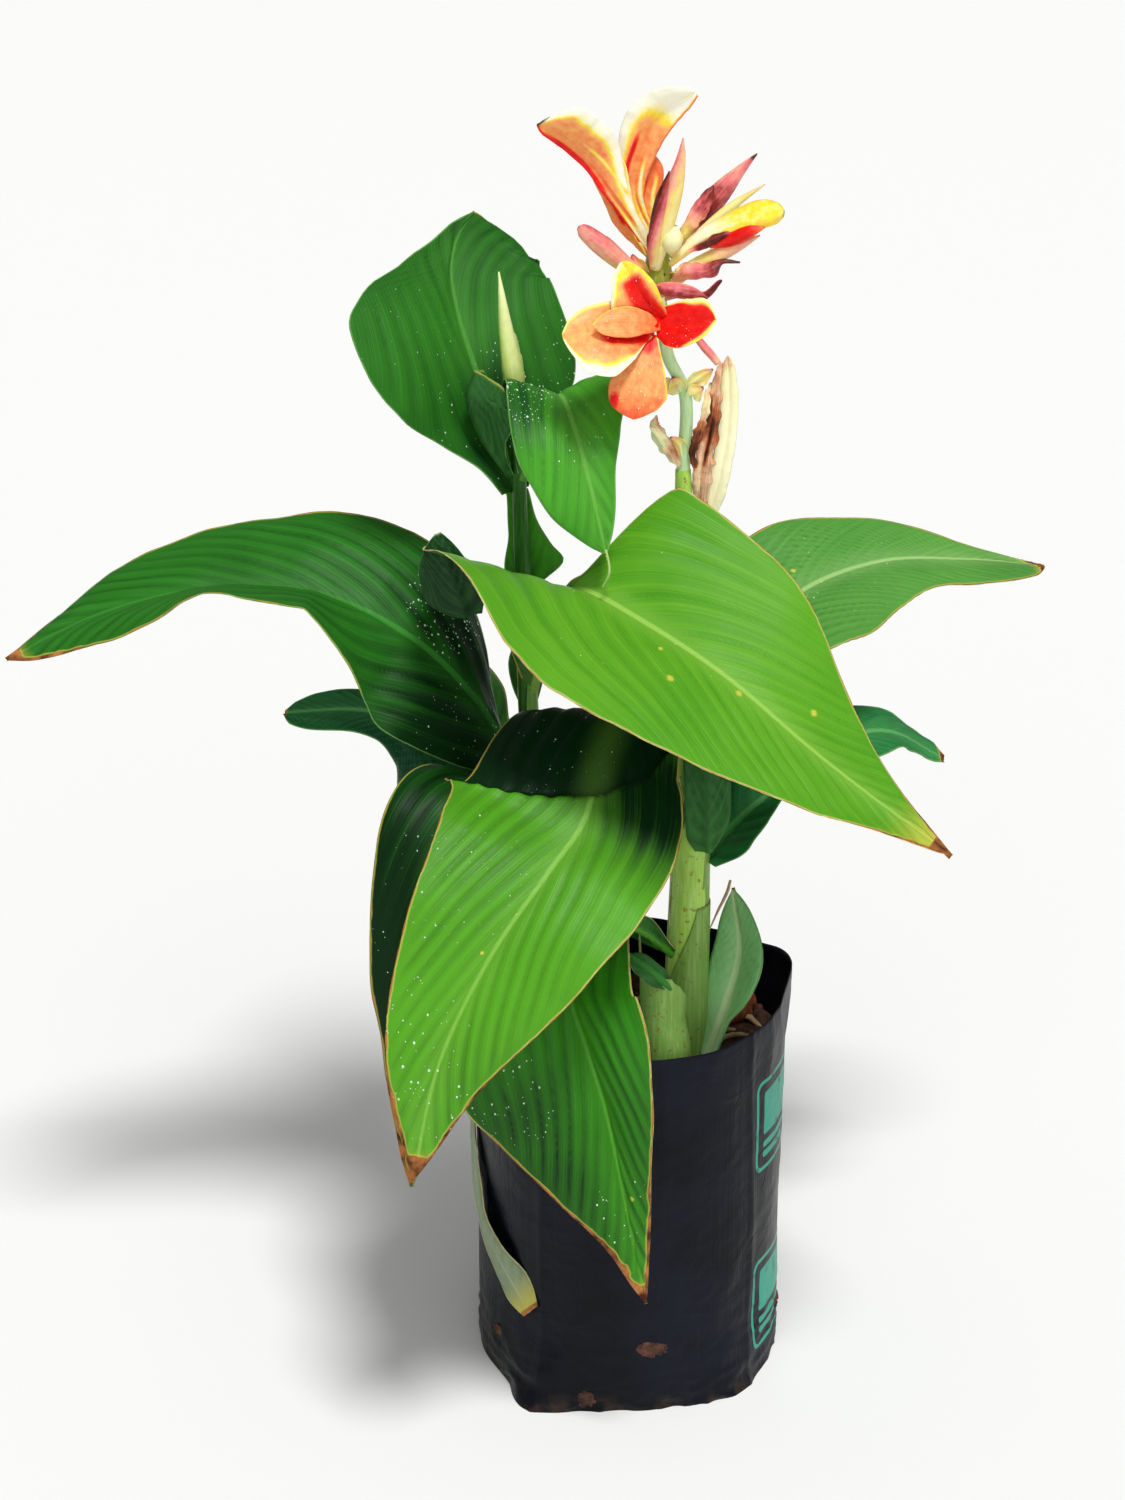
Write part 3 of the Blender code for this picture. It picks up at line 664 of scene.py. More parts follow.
def leafSkin(name, deep, light, rib, under=False, sheen=0.34, gleam=0.4, margin="#D9C98A"):
    # living leaf: a waxy, finely veined skin. The upper face is glossy, the under face duller with raised veins
    made, add, shader = startMaterial(name, IOR=1.45, Specular_IOR_Level=0.25 if under else gleam)
    vein, margins, dry, ribField, tone, ripe, where = readMaps(add)
    crest = add("ShaderNodeAttribute", attribute_name="crest").outputs["Fac"]
    cloud = add("ShaderNodeTexNoise", {"Vector": where, "Scale": 11.0, "Detail": 4.0})
    speck = add("ShaderNodeTexNoise", {"Vector": where, "Scale": 210.0, "Detail": 3.0})
    torn = add("ShaderNodeTexNoise", {"Vector": where, "Scale": 95.0, "Detail": 4.0})
    lane = [add("ShaderNodeMath", pair, operation="MULTIPLY") for pair in zip((vein, margins), leafPaint["threads"])]
    threads = add("ShaderNodeTexNoise", {"Vector": add("ShaderNodeCombineXYZ", lane), "Scale": 1.0, "Detail": 3.0})
    lines = []
    for apart, sharp in leafPaint["veinSteps"]:
        turns = add("ShaderNodeMath", (vein, math.pi / apart), operation="MULTIPLY")
        wave = add("ShaderNodeMath", (add("ShaderNodeMath", (turns,), operation="COSINE"),), operation="ABSOLUTE")
        lines.append(add("ShaderNodeMath", (wave, sharp), operation="POWER"))
    main, fine = lines
    # the green: the blade's tone, which carries painted shade and light from its fold and patches, clouded, streaked,
    # lighter on its veins, and with painted shade darker in the pleats' grooves and lighter on their crests
    given = {"cloud": cloud, "threads": threads, "main": main, "crest": crest, "fine": fine, "speck": speck}
    lightness = add("ShaderNodeMath", (tone, leafPaint["toneMiddle"]), operation="ADD")
    for key, share in leafPaint["toneShares"].items():
        lightness = add("ShaderNodeMath", (given[key], share, lightness), operation="MULTIPLY_ADD")
    lightness.use_clamp = True
    # a glow beside the midrib, the midrib, the pale margin, and dry tissue: yellow, then tan, then dark brown
    speckle = add("ShaderNodeMath", (speck, *leafPaint["speckle"]), operation="MULTIPLY_ADD")
    frayed = add("ShaderNodeMath", (margins, speckle), operation="ADD")
    ripened = add("ShaderNodeMath", (ripe, speckle), operation="ADD")
    more, steep, least = leafPaint["raggedDry"]
    aged = add("ShaderNodeMath", (dry, more), operation="ADD", use_clamp=True)
    raggedness = add("ShaderNodeMath", (aged, steep, least), operation="MULTIPLY_ADD")
    uneven = add("ShaderNodeMath", (torn, 0.5), operation="SUBTRACT")
    dryness = add("ShaderNodeMath", (uneven, raggedness, dry), operation="MULTIPLY_ADD")
    colour = add("ShaderNodeMix", (lightness, linear(deep), linear(light)), data_type="RGBA")
    for source, key, paint in ((ribField, "glow", rib), (ribField, "rib", rib), (frayed, "margin", margin),
                               (ripened, "ripe", leafPaint["ripeColour"]),
                               (dryness, "yellowing", leafPaint["yellowingColour"])):
        low, high, share = leafPaint[key]
        layer = add("ShaderNodeMapRange", (source, low, high), interpolation_type="SMOOTHSTEP")
        layer = add("ShaderNodeMath", (layer, 0.0 if under and key == "margin" else share), operation="MULTIPLY")
        if key == "rib":
            shaded = add("ShaderNodeMapRange", (tone, *leafPaint["ribShade"]), interpolation_type="SMOOTHSTEP")
            layer = add("ShaderNodeMath", (layer, shaded), operation="MULTIPLY")
        colour = add("ShaderNodeMix", (layer, colour, linear(paint)), data_type="RGBA")
    dead = add("ShaderNodeMapRange", (dryness, *leafPaint["dead"]), interpolation_type="SMOOTHSTEP")
    scorch = add("ShaderNodeValToRGB", (torn,), leafPaint["scorch"])
    colour = add("ShaderNodeMix", (dead, colour, scorch), data_type="RGBA")
    swing, middle = leafPaint["cloudRough"]
    middle += sheen + (leafPaint["underRough"] if under else 0.0)
    clouded = add("ShaderNodeMath", (cloud, swing, middle), operation="MULTIPLY_ADD")
    rough = add("ShaderNodeMath", (dead, leafPaint["deadRough"], clouded), operation="MULTIPLY_ADD", use_clamp=True)
    lift = add("ShaderNodeMath", (torn, dead), operation="MULTIPLY")
    lift = add("ShaderNodeMath", (lift, leafPaint["deadLift"]), operation="MULTIPLY")
    for key, share in leafPaint["liftShares"].items():
        share = leafPaint["underVeins"] if under and key == "main" else share
        lift = add("ShaderNodeMath", (given[key], share, lift), operation="MULTIPLY_ADD")
    bump = add("ShaderNodeBump", {"Height": lift, "Strength": 0.42, "Distance": 0.0006})
    feed(shader, Base_Color=colour, Roughness=rough, Normal=bump)
    return made


def leafEdge(name, low, high):
    # the cut edge of a leaf: a thin line, straw-coloured where it has dried
    made, add, shader = startMaterial(name, Roughness=0.7)
    where = add("ShaderNodeTexCoord").outputs["Object"]
    spots = add("ShaderNodeTexNoise", {"Vector": where, "Scale": 130.0, "Detail": 2.0})
    feed(shader, Base_Color=add("ShaderNodeValToRGB", (spots,), ((0.40, low), (0.60, high))))
    return made


# each kind: its deep and light greens, its midrib, how rough and how bright its sheen is
leafKinds = {
    "bright": ("#2C7E14", "#6CB026", "#98C654", 0.42, 0.15),
    "midGreen": ("#1F6E17", "#4E9C26", "#84B84A", 0.38, 0.20),
    # deep: partly the leaves' own deep green and partly painted shade, for leaves that lie in shadow
    "deep": ("#042808", "#2C7A1E", "#3C8A30", 0.42, 0.14),
    "crown": ("#0A3C0E", "#348022", "#4E9438", 0.50, 0.14),
    "crownFront": ("#124C16", "#4AA226", "#6AAE46", 0.42, 0.18),
    "pale": ("#2C7A2C", "#6AA846", "#A2CA7C", 0.46, 0.2),
    "blueGreen": ("#0A3F26", "#2F8A44", "#5FA860", 0.42, 0.18),
    "greyGreen": ("#3E8E40", "#8CD084", "#CCE6AC", 0.50, 0.15),
    "sunlit": ("#04280A", "#54A01E", "#82BA48", 0.40, 0.20),
    "glossy": ("#042A08", "#389014", "#4F9C28", 0.36, 0.20),
    "old": ("#6B7F5A", "#93A382", "#A9B598", 0.55, 0.3),
}
greenEdged = ("deep", "crown", "crownFront", "pale", "blueGreen", "greyGreen")
# the under faces' greens, duller and darker than the tops: partly painted shade
shadeDarkenedUnderLeaf = ("#0A3412", "#3C7A36")
marginSkin = leafEdge("dryLeafMargin", "#B59A5E", "#E6E2A4")
greenMargin = leafEdge("livingLeafMargin", "#3F7A34", "#86B468")
leafSkins = {}
for kindName, (deep, light, rib, sheen, gleam) in leafKinds.items():
    edgeColour = "#6FA653" if kindName in greenEdged else "#E2D79A"
    leafSkins[kindName] = (
        leafSkin("waxyLeafTop_" + kindName, deep, light, rib, False, sheen, gleam, edgeColour),
        leafSkin("dullLeafUnder_" + kindName, *((deep, light) if kindName == "old" else shadeDarkenedUnderLeaf), rib, True, sheen),
        greenMargin if kindName in greenEdged else marginSkin,
    )

usualLeaf = {
    "roll": 0, "liftLeft": 0, "liftRight": 0, "bow": 14, "curl": 0,  # degrees, from foot to tip
    "pleat": 1.0, "pleatSpacing": 0.9, "ripple": 1.6, "rippleLength": 7.0, "buckle": 2.0, "seed": 0,
    "veinSlant": (0.3, 2.3), "ribWidth": (3.4, 0.8), "ribThick": 3.0, "bladeThick": 0.5,
    "tone": (0.5,), "rimLeft": None, "rimRight": None, "strokes": (), "patches": (), "fold": None, "groove": 0.45,
    "ribbed": True, "kind": "midGreen",
    "tip": 6, "ripe": 8, "dryLeft": 0, "dryRight": 0, "spots": (),  # dry and ripe lengths at the tip and the margins
    "step": 2.7,  # millimetres between places on the blade
}


def leafShape(nodes, rib, heading, left, right, **more):
    # the rib in millimetres, the heading of its back, and each half's (t, width) in millimetres
    return {"nodes": nodes, "rib": rib, "heading": heading, "left": left, "right": right, **usualLeaf, **more}


def halfWidth(t, knots):
    # the half width at each t, through (t, width) knots, without overshoot between them
    at, width = np.array(knots, float).T
    slope = np.diff(width) / np.diff(at)
    turn = np.concatenate([[slope[0]], np.where(slope[1:] * slope[:-1] > 0,
                           2 * slope[1:] * slope[:-1] / (slope[1:] + slope[:-1] + 1e-9), 0), [slope[-1] * 1.4]])
    i = np.clip(np.searchsorted(at, t, side="right") - 1, 0, len(at) - 2)
    gap = at[i + 1] - at[i]
    u = (t - at[i]) / gap
    return ((1 + 2 * u) * (1 - u) ** 2 * width[i] + u * (1 - u) ** 2 * gap * turn[i]
            + u * u * (3 - 2 * u) * width[i + 1] + u * u * (u - 1) * gap * turn[i + 1])


def bladeGrid(leaf):
    # the blade as rows of places from foot to tip, each from left margin to right margin, in millimetres,
    # with what its skin needs to know at each place
    rib = smoothPath(leaf["rib"], 400)
    length = np.linalg.norm(np.diff(rib, axis=0), axis=1).sum()
    rows = int(length / leaf["step"]) + 2
    widest = max(width for key in ("left", "right") for _, width in leaf[key])
    half = max(5, int(widest / leaf["step"]))
    t = np.linspace(0, 1, rows)
    fine = np.linspace(0, 1, len(rib))
    places = np.stack([np.interp(t, fine, column) for column in rib.T], axis=1)
    slopes = np.stack([np.interp(t, fine, column) for column in np.gradient(rib, axis=0).T], axis=1)
    ahead = slopes / np.linalg.norm(slopes, axis=1)[:, None]
    heading = np.radians(spread(leaf["heading"], t))
    across = np.stack([np.sin(heading), -np.cos(heading), np.zeros(rows)], axis=1)
    side = across - (ahead * across).sum(axis=1)[:, None] * ahead
    side /= np.linalg.norm(side, axis=1)[:, None]
    above = np.cross(side, ahead)
    roll = np.radians(spread(leaf["roll"], t))[:, None]
    side, above = side * np.cos(roll) + above * np.sin(roll), above * np.cos(roll) - side * np.sin(roll)
    along = t * length
    ribHalf = spread(leaf["ribWidth"], t) / 2 + 0.2
    slant = leaf["veinSlant"][0] + (leaf["veinSlant"][1] - leaf["veinSlant"][0]) * ease(0, 0.75, t)
    grids, spans, fars, rims = [], [], [], []
    share = np.linspace(0, 1, half + 1)
    for hand, key, liftKey in ((-1, "left", "liftLeft"), (1, "right", "liftRight")):
        reach = np.maximum(halfWidth(t, leaf[key]), 0.35)
        lift = spread(leaf[liftKey], t)[:, None]
        bow = spread(leaf["bow"], t)[:, None]
        curl = spread(leaf["curl"], t)[:, None]
        middle = (share[1:] + share[:-1])[None, :] / 2
        angle = np.radians(lift + bow * (1 - 2 * middle) + curl * np.clip((middle - 0.7) / 0.3, 0, 1) ** 1.5)
        stride = (reach / half)[:, None, None]
        steps = (hand * side[:, None, :] * np.cos(angle)[:, :, None] + above[:, None, :] * np.sin(angle)[:, :, None])
        margin = np.concatenate([np.zeros((rows, 1, 3)), np.cumsum(steps * stride, axis=1)], axis=1)
        grid = places[:, None, :] + margin
        far = reach[:, None] * share[None, :]
        grids.append(grid)
        spans.append(np.broadcast_to(hand * share[None, :], far.shape))
        fars.append(far)
        rims.append(reach[:, None] - far)

    def join(pair):
        return np.concatenate([pair[0][:, :0:-1], pair[1]], axis=1)

    grid, span, far, rim = join(grids), join(spans), join(fars), join(rims)
    rows, columns = far.shape
    alongAll = np.broadcast_to(along[:, None], far.shape)
    vein = alongAll - slant[:, None] * far
    dry = leaf["tip"] - (length - alongAll)
    for hand, key in ((-1, "dryLeft"), (1, "dryRight")):
        worn = spread(leaf[key], t) * (1 + 0.55 * wander(along / 42, leaf["seed"] + hand))
        field = np.where(worn[:, None] > 0.02, worn[:, None] - rim, -9.0)
        dry = np.where(span * hand > 0, np.maximum(dry, field), dry)
    ripe = 1 - (length - alongAll) / (leaf["tip"] + leaf["ripe"]) if leaf["ripe"] else np.full(far.shape, -1.0)
    for at, where, radius in leaf["spots"]:
        row = int(at * (rows - 1))
        column = int(round((where + 1) / 2 * (columns - 1)))
        gap = np.linalg.norm(grid - grid[row, column], axis=2)
        ripe = np.maximum(ripe, 1.6 - 1.6 * gap / radius)
    # rims and strokes are painted over the body's tone: a rim has widths and a tone, a stroke its start and end,
    # how far it lies from the rib, its width and a tone
    tone = spread(leaf["tone"], t)[:, None] * np.ones_like(far)
    signed = far * np.sign(span)
    for hand, key in ((-1, "rimLeft"), (1, "rimRight")):
        if leaf[key]:
            share = np.exp(-((rim / (spread(leaf[key][0], t)[:, None] + 0.01)) ** 4)) * (span * hand > 0)
            tone = tone * (1 - share) + leaf[key][1] * share
    for first, last, offset, width, value in leaf["strokes"]:
        reachIn = np.clip((t - first) / 0.06, 0, 1) * np.clip((last - t) / 0.10, 0, 1)
        share = np.exp(-(((signed - offset) / width) ** 4)) * reachIn[:, None]
        tone = tone * (1 - share) + value * share
    # patches of painted shade and painted light: each sets the tone darker or lighter round a place, t and span, over
    # a length and a width
    for at, middle, longer, wider, value in leaf["patches"]:
        share = np.exp(-((((t[:, None] - at) / longer) ** 2 + ((span - middle) / wider) ** 2) ** 1.5))
        tone = tone * (1 - share) + value * share
    if leaf["fold"]:
        # the sheet turns over along a line across it: before the line its tone is set dark as painted shade, and after
        # it the sheet stands proud
        fold = leaf["fold"]
        line = spread(fold["at"], (span + 1) / 2)
        after = ease(-fold["soft"], fold["soft"], t[:, None] - line)
        tone = fold["tone"] * (1 - after) + tone * after
        grid = grid + above[:, None, :] * (fold["height"] * after * ease(fold["until"], 0.5, t[:, None]))[:, :, None]
    ribField = ribHalf[:, None] - far - (0 if leaf["ribbed"] else 99)
    return {"grid": grid, "span": span, "far": far, "rim": rim, "along": alongAll, "vein": vein, "dry": dry,
            "tone": tone, "ribField": ribField, "t": t, "ribHalf": ribHalf,
            "ripe": ripe}


def makeSheet(name, leaf):
    sheet = bladeGrid(leaf)
    grid, span, far, rim, vein = (sheet[key] for key in ("grid", "span", "far", "rim", "vein"))
    rows, columns = far.shape
    uvs = {
        "veins": np.stack([(far * np.sign(span)).ravel() * cm, vein.ravel() * cm], 1),
        "edges": np.stack([rim.ravel() * cm, sheet["dry"].ravel() * cm], 1),
        "middle": np.stack([sheet["ribField"].ravel() * cm, sheet["tone"].ravel()], 1),
        "age": np.stack([sheet["ripe"].ravel(), sheet["t"].repeat(columns)], 1),
    }
    floats = {"vein": vein.ravel() * cm, "span": span.ravel(), "along": sheet["along"].ravel() * cm}
    obj = newMesh(name, grid.reshape(-1, 3) * mm, gridFaces(rows, columns), uvs, floats)
    # the rib is as thick as a petiole at the foot and thins towards the tip
    least = leaf["bladeThick"] / leaf["ribThick"]
    bell = np.exp(-((far / (sheet["ribHalf"][:, None] * 1.1)) ** 2)) * (1 - 0.8 * sheet["t"][:, None])
    group = obj.vertex_groups.new(name="rib")
    weights = (least + (1 - least) * bell).ravel()
    bands = 41  # the group takes its weights in bands
    for step in range(bands):
        low, high = step / bands, (step + 1) / bands
        chosen = np.nonzero((weights >= low) & (weights < high + (1e-6 if step == bands - 1 else 0)))[0]
        if len(chosen):
            group.add(chosen.tolist(), (low + high) / 2, "REPLACE")
    return obj


def makeLeaf(name, leaf, slot="leaf_blade", skins=None):
    obj = makeSheet(name, leaf)
    skins = skins or leafSkins[leaf["kind"]]
    for made in skins:
        obj.data.materials.append(made)
    runTree(obj, leafRelief, {
        "Pleat Height": leaf["pleat"] * mm, "Pleat Spacing": leaf["pleatSpacing"],
        "Ripple Height": leaf["ripple"] * mm, "Ripple Length": leaf["rippleLength"],
        "Buckle Height": leaf["buckle"] * mm, "Shift": float(leaf["seed"]), "Groove Shade": leaf["groove"],
        "Material": skins[0]})
    shell = obj.modifiers.new("thickness", "SOLIDIFY")
    shell.thickness = leaf["ribThick"] * mm
    shell.offset = -1
    shell.vertex_group = "rib"
    shell.material_offset = min(1, len(skins) - 1)
    shell.material_offset_rim = len(skins) - 1
    settle(obj, ("vein", "span", "along"))
    return place(obj, slot, *leaf["nodes"])


leaves = {
    "leafFrontRight": leafShape(
        ("leaf_front_right_arch", "leaf_front_right_blade"),
        [beside("left", 446, -30, -2), (-47, -18, 507), (-33, -42, 530), (0, -68, 523), (50, -102, 501),
         (105, -135, 464), (176, -163, 417)],
        (-70, -58, -42, -35, -35),
        ((0, 2), (0.2, 4), (0.27, 9), (0.34, 79), (0.5, 76), (0.7, 50), (0.87, 21), (1, 0)),
        ((0, 3), (0.12, 30), (0.22, 86), (0.34, 94), (0.5, 84), (0.7, 56), (0.87, 24), (1, 0)),
        liftLeft=(0, 48, 34, 12, 0), liftRight=(0, 28, 56, 27, 6, -3, -6, -8, -10, -9, -8, -4, 0), bow=2,
        kind="bright", seed=1, tip=13, ripe=34, tone=(0.4, 0.5, 0.52, 0.50, 0.44, 0.42, 0.45),
        pleat=1.2, pleatSpacing=1.9, veinSlant=(0.0, 2.4), groove=0.3, ripple=1.6, buckle=2.4,
        patches=((0.38, -0.55, 0.22, 0.5, 0.42),),
        dryLeft=(0.0, 0.2, 0.3, 0.3, 0.3, 0.4, 1.5), dryRight=(0.0, 0.2, 0.3, 0.3, 0.3, 0.5, 2.0),
        spots=((0.52, 0.34, 3.4), (0.60, 0.06, 3.0), (0.70, -0.40, 3.0), (0.47, 0.15, 2.2))),
    "leafFarLeft": leafShape(
        ("leaf_far_left_arch", "leaf_far_left_blade"),
        [beside("left", 385, 180, -2), (-96, -3, 447), (-135, -4, 487), (-190, 4, 510), (-256, 4, 512),
         (-318, -5, 499), (-370, -20, 477)],
        (180,),
        ((0, 4), (0.15, 42), (0.28, 56), (0.4, 39), (0.55, 48), (0.75, 40), (0.9, 23), (1, 0)),
        ((0, 4), (0.12, 13), (0.25, 49), (0.4, 66), (0.55, 58), (0.75, 42), (0.9, 19), (1, 0)),
        liftLeft=(0, -55, -60, 8, 18, -12, -30), liftRight=(0, 30, 38, 28, 18, 0), kind="deep", seed=2, tip=9,
        # its dark foot, in its tone and its patches, is painted shade under the front leaf
        tone=(-0.1, 0.0, 0.25, 0.6, 0.75, 0.75, 0.7, 0.7), pleat=1.3, pleatSpacing=2.6, veinSlant=(1.4, 3.0),
        ripple=2.8, buckle=3.0,
        patches=((0.2, 0.6, 0.14, 0.5, -0.1), (0.16, -0.5, 0.10, 0.7, -0.1)),
        dryLeft=(0, 0, 0, 0.4, 1.2, 0.5, 2.5), dryRight=(0, 0, 0.2, 0.3, 0.3, 0.6, 3)),
    "leafFrontLeft": leafShape(
        ("leaf_front_left_arch", "leaf_front_left_blade"),
        [beside("main", 372, -125, -3), (10, -54, 430), (-6, -64, 462), (-19, -90, 446), (-30, -120, 416),
         (-52, -147, 394), (-84, -175, 357), (-112, -192, 300), (-128, -200, 228)],
        (-95,),
        ((0, 3), (0.1, 10), (0.18, 12), (0.24, 38), (0.32, 47), (0.42, 57), (0.52, 62), (0.62, 58), (0.74, 43),
         (0.86, 24), (1, 0)),
        ((0, 3), (0.12, 32), (0.28, 66), (0.4, 76), (0.44, 88), (0.5, 76), (0.6, 62), (0.8, 36), (0.93, 13), (1, 0)),
        liftLeft=(0, -20, -10, 10, 10, 0), liftRight=(0, -25, -5, 10, 10, 0), kind="sunlit", seed=3, tip=16,
        tone=(0.7, 0.7, 0.7, 0.74, 0.80, 0.84, 0.84, 0.82, 0.78, 0.7), pleat=1.6, pleatSpacing=3.6,
        veinSlant=(1.4, 4.2), groove=0.33, step=2.2,
        # its fold's dark tone and its first patch are painted shade, its second patch painted light
        patches=((0.36, -0.75, 0.10, 0.7, -0.2), (0.30, 0.9, 0.06, 0.3, 0.45)),
        fold={"at": (0.25, 0.355, 0.39, 0.415, 0.468), "tone": -0.5, "soft": 0.004, "height": 3.5, "until": 0.75},
        ripple=1.4, buckle=2.0, dryLeft=(0, 0, 0.2, 0.4, 0.3, 0.4, 1.0, 3.0),
        dryRight=(0, 0, 0.2, 0.3, 0.4, 0.6, 1.2, 3.0), spots=((0.66, 0.1, 1.6),)),
    "leafFrontLow": leafShape(
        ("leaf_front_low_arch", "leaf_front_low_blade"),
        [beside("main", 290, -150, -3), (-2, -78, 330), (-26, -106, 332), (-36, -123, 308), (-28, -134, 280),
         (-16, -142, 240), (-4, -151, 180), (8, -150, 114)],
        (-90,),
        ((0, 3), (0.2, 14), (0.35, 42), (0.46, 50), (0.6, 38), (0.75, 21), (0.9, 8), (1, 0)),
        ((0, 3), (0.2, 20), (0.35, 60), (0.5, 81), (0.63, 67), (0.75, 42), (0.88, 16), (1, 0)),
        liftLeft=(0, 40, 40, 10), liftRight=(0, 10, 5, 5), kind="glossy", seed=4, tip=13,
        tone=(0.2, 0.4, 0.7, 0.65, 0.55, 0.5, 0.5), pleat=1.7, pleatSpacing=3.2, veinSlant=(0.8, 4.0),
        # its patches are painted shade and painted light
        groove=0.38, ripple=1.2, buckle=1.4, patches=((0.62, 0.75, 0.3, 0.45, 0.2), (0.38, 0.6, 0.14, 0.5, 0.9)),
        dryLeft=(0, 0, 0.3, 0.4, 0.6, 1.6, 3.0), dryRight=(0, 0, 0.3, 0.3, 0.8, 2.2, 4.5),
        spots=((0.78, -0.35, 2.4),)),
    "leafLeftLow": leafShape(
        ("leaf_left_low_arch", "leaf_left_low_blade"),
        [beside("left", 355, -130, -2), (-84, -26, 400), (-104, -56, 408), (-114, -82, 382), (-119, -97, 332),
         (-122, -105, 265), (-133, -112, 172)],
        (-110,),
        ((0, 3), (0.2, 20), (0.5, 34), (0.7, 28), (0.88, 13), (1, 0)),
        ((0, 3), (0.2, 25), (0.4, 38), (0.6, 37), (0.75, 28), (0.9, 14), (1, 0)),
        liftLeft=(0, 10, 5, 0), liftRight=(0, 10, 10, 0), kind="deep", seed=5, tip=10,
        # its dark middle tone is painted shade behind the front leaf
        tone=(0.2, 0.2, 0.05, -0.3, -0.3, -0.2, 0.1), pleat=1.2, pleatSpacing=2.4, veinSlant=(1.2, 3.4),
        ripple=1.4, dryLeft=(0, 0, 0.4, 0.5, 0.8, 3.0), dryRight=(0, 0, 0.4, 0.5, 0.8, 3.0)),
    "leafFarRight": leafShape(
        ("leaf_far_right",),
        [beside("main", 415, 45, -3), (62, 2, 462), (98, 38, 494), (150, 72, 503), (205, 90, 498), (256, 100, 490)],
        (30,),
        ((0, 3), (0.2, 30), (0.42, 48), (0.6, 36), (0.8, 17), (0.93, 6), (1, 0)),
        ((0, 3), (0.2, 36), (0.42, 58), (0.6, 42), (0.76, 29), (0.88, 30), (0.96, 20), (1, 3)),
        liftLeft=(0, 40, 35, 10), liftRight=(0, -12, -20, 0), kind="pale", seed=6, tip=5,
        tone=(0.3, 0.35, 0.45, 0.5, 0.4), pleat=0.8, ripple=2.4, rippleLength=9, buckle=2.6,
        dryLeft=(0.2, 0.3, 0.4, 0.4, 1.2), dryRight=(0.2, 0.3, 0.4, 0.5, 1.4), spots=((0.44, -0.3, 2.2),)),
    "leafRightBack": leafShape(
        ("leaf_right_back",),
        [beside("main", 350, 0, -3), (66, -12, 369), (86, 0, 382), (122, 28, 400), (158, 48, 401), (195, 60, 377)],
        (40,),
        ((0, 6), (0.1, 24), (0.25, 34), (0.45, 34), (0.7, 22), (0.9, 16), (0.97, 13), (1, 2)),
        ((0, 10), (0.1, 26), (0.2, 26), (0.3, 23), (0.45, 26), (0.7, 20), (0.9, 11), (1, 3)),
        ribWidth=(6, 3, 1), roll=(0, 0, -18, -34), liftLeft=(0, 55, 12, -10), liftRight=(0, 30, -10, 0),
        kind="blueGreen", seed=7, tip=3, ripe=0, tone=(0.6, 0.6, 0.65, 0.8), pleat=0.8,
        ripple=3.4, rippleLength=4.5, curl=(0, 10, 30)),
    "leafCrownBack": leafShape(
        ("leaf_crown_back",),
        [beside("left", 572, 110, -1.5), (-84, 30, 604), (-93, 42, 634), (-103, 58, 662), (-108, 76, 686),
         (-104, 95, 702), (-95, 112, 711)],
        (112,),
        ((0, 11), (0.1, 18), (0.2, 37), (0.3, 61), (0.44, 79), (0.56, 83), (0.66, 65), (0.73, 36), (0.82, 15),
         (0.92, 6), (1, 0)),
        ((0, 8), (0.15, 28), (0.3, 58), (0.44, 64), (0.6, 62), (0.7, 60), (0.8, 58), (0.88, 53), (0.94, 45),
         (0.975, 36), (1, 16)),
        liftLeft=(0, 20, 20, 10), liftRight=(0, 4, 4, 4), kind="crown", seed=8, tip=0, ripe=0,
        tone=(0.1, 0.35, 0.6, 0.65, 0.55, 0.45), pleat=1.3, pleatSpacing=4.0, veinSlant=(1.8, 4.0), groove=0.35,
        ripple=2.0, rippleLength=8, buckle=4.0, ribWidth=(4.5, 3.4, 1.2, 0.4),
        # its patches are painted shade
        patches=((0.30, 0.18, 0.16, 0.35, 0.0), (0.12, -0.3, 0.07, 0.5, -0.1), (0.95, -0.4, 0.1, 0.6, 0.1))),
    "leafCrownFront": leafShape(
        ("leaf_crown_front_arch", "leaf_crown_front_blade"),
        [beside("left", 580, -40, -1.5), (-53, 2, 616), (-44, -5, 636), (-34, -34, 621), (-25, -51, 592),
        (-17, -60, 558)],
        (-75,),
        ((0, 3), (0.2, 12), (0.36, 30), (0.46, 33), (0.6, 25), (0.72, 17), (0.9, 9), (1, 0)),
        ((0, 3), (0.2, 20), (0.4, 36), (0.6, 39), (0.72, 34), (0.82, 28), (0.92, 15), (1, 0)),
        liftLeft=(0, 16, 6, 0), liftRight=(0, 16, 0, 0), kind="crownFront", seed=9, tip=1, ripe=0,
        tone=(0.2, 0.3, 0.5, 0.65, 0.7, 0.6), pleat=1.0, pleatSpacing=2.2, veinSlant=(0.6, 3.0),
        ripple=1.2, buckle=2.4, ribWidth=(3, 2, 0.6),
        # its first patch is painted shade, its second painted light where the petals' shadow falls
        patches=((0.45, 0.85, 0.14, 0.45, 0.1), (0.42, -0.7, 0.2, 0.5, 0.95))),
    "leafLeftBack": leafShape(
        ("leaf_left_back",),
        [beside("left", 362, 160, -2), (-95, 22, 388), (-125, 45, 402), (-165, 78, 402), (-217, 100, 391)],
        (155,),
        ((0, 3), (0.2, 32), (0.38, 48), (0.5, 28), (0.62, 17), (0.88, 14), (0.97, 9), (1, 2)),
        ((0, 3), (0.2, 26), (0.4, 30), (0.55, 15), (0.88, 13), (0.97, 8), (1, 2)),
        roll=(0, 10, 30, 38, 38), liftLeft=(0, -35, -30, -5, 0), liftRight=(0, -10, 0, 0), kind="blueGreen",
        seed=10, tip=1, ripe=0, tone=(-0.1, 0.0, 0.25, 0.4), pleat=1.0, ripple=1.6),
    "leafBack": leafShape(
        ("leaf_back",),
        [beside("main", 385, 110, -3), (24, 15, 425), (18, 58, 446), (12, 110, 438), (5, 160, 396)],
        (90,),
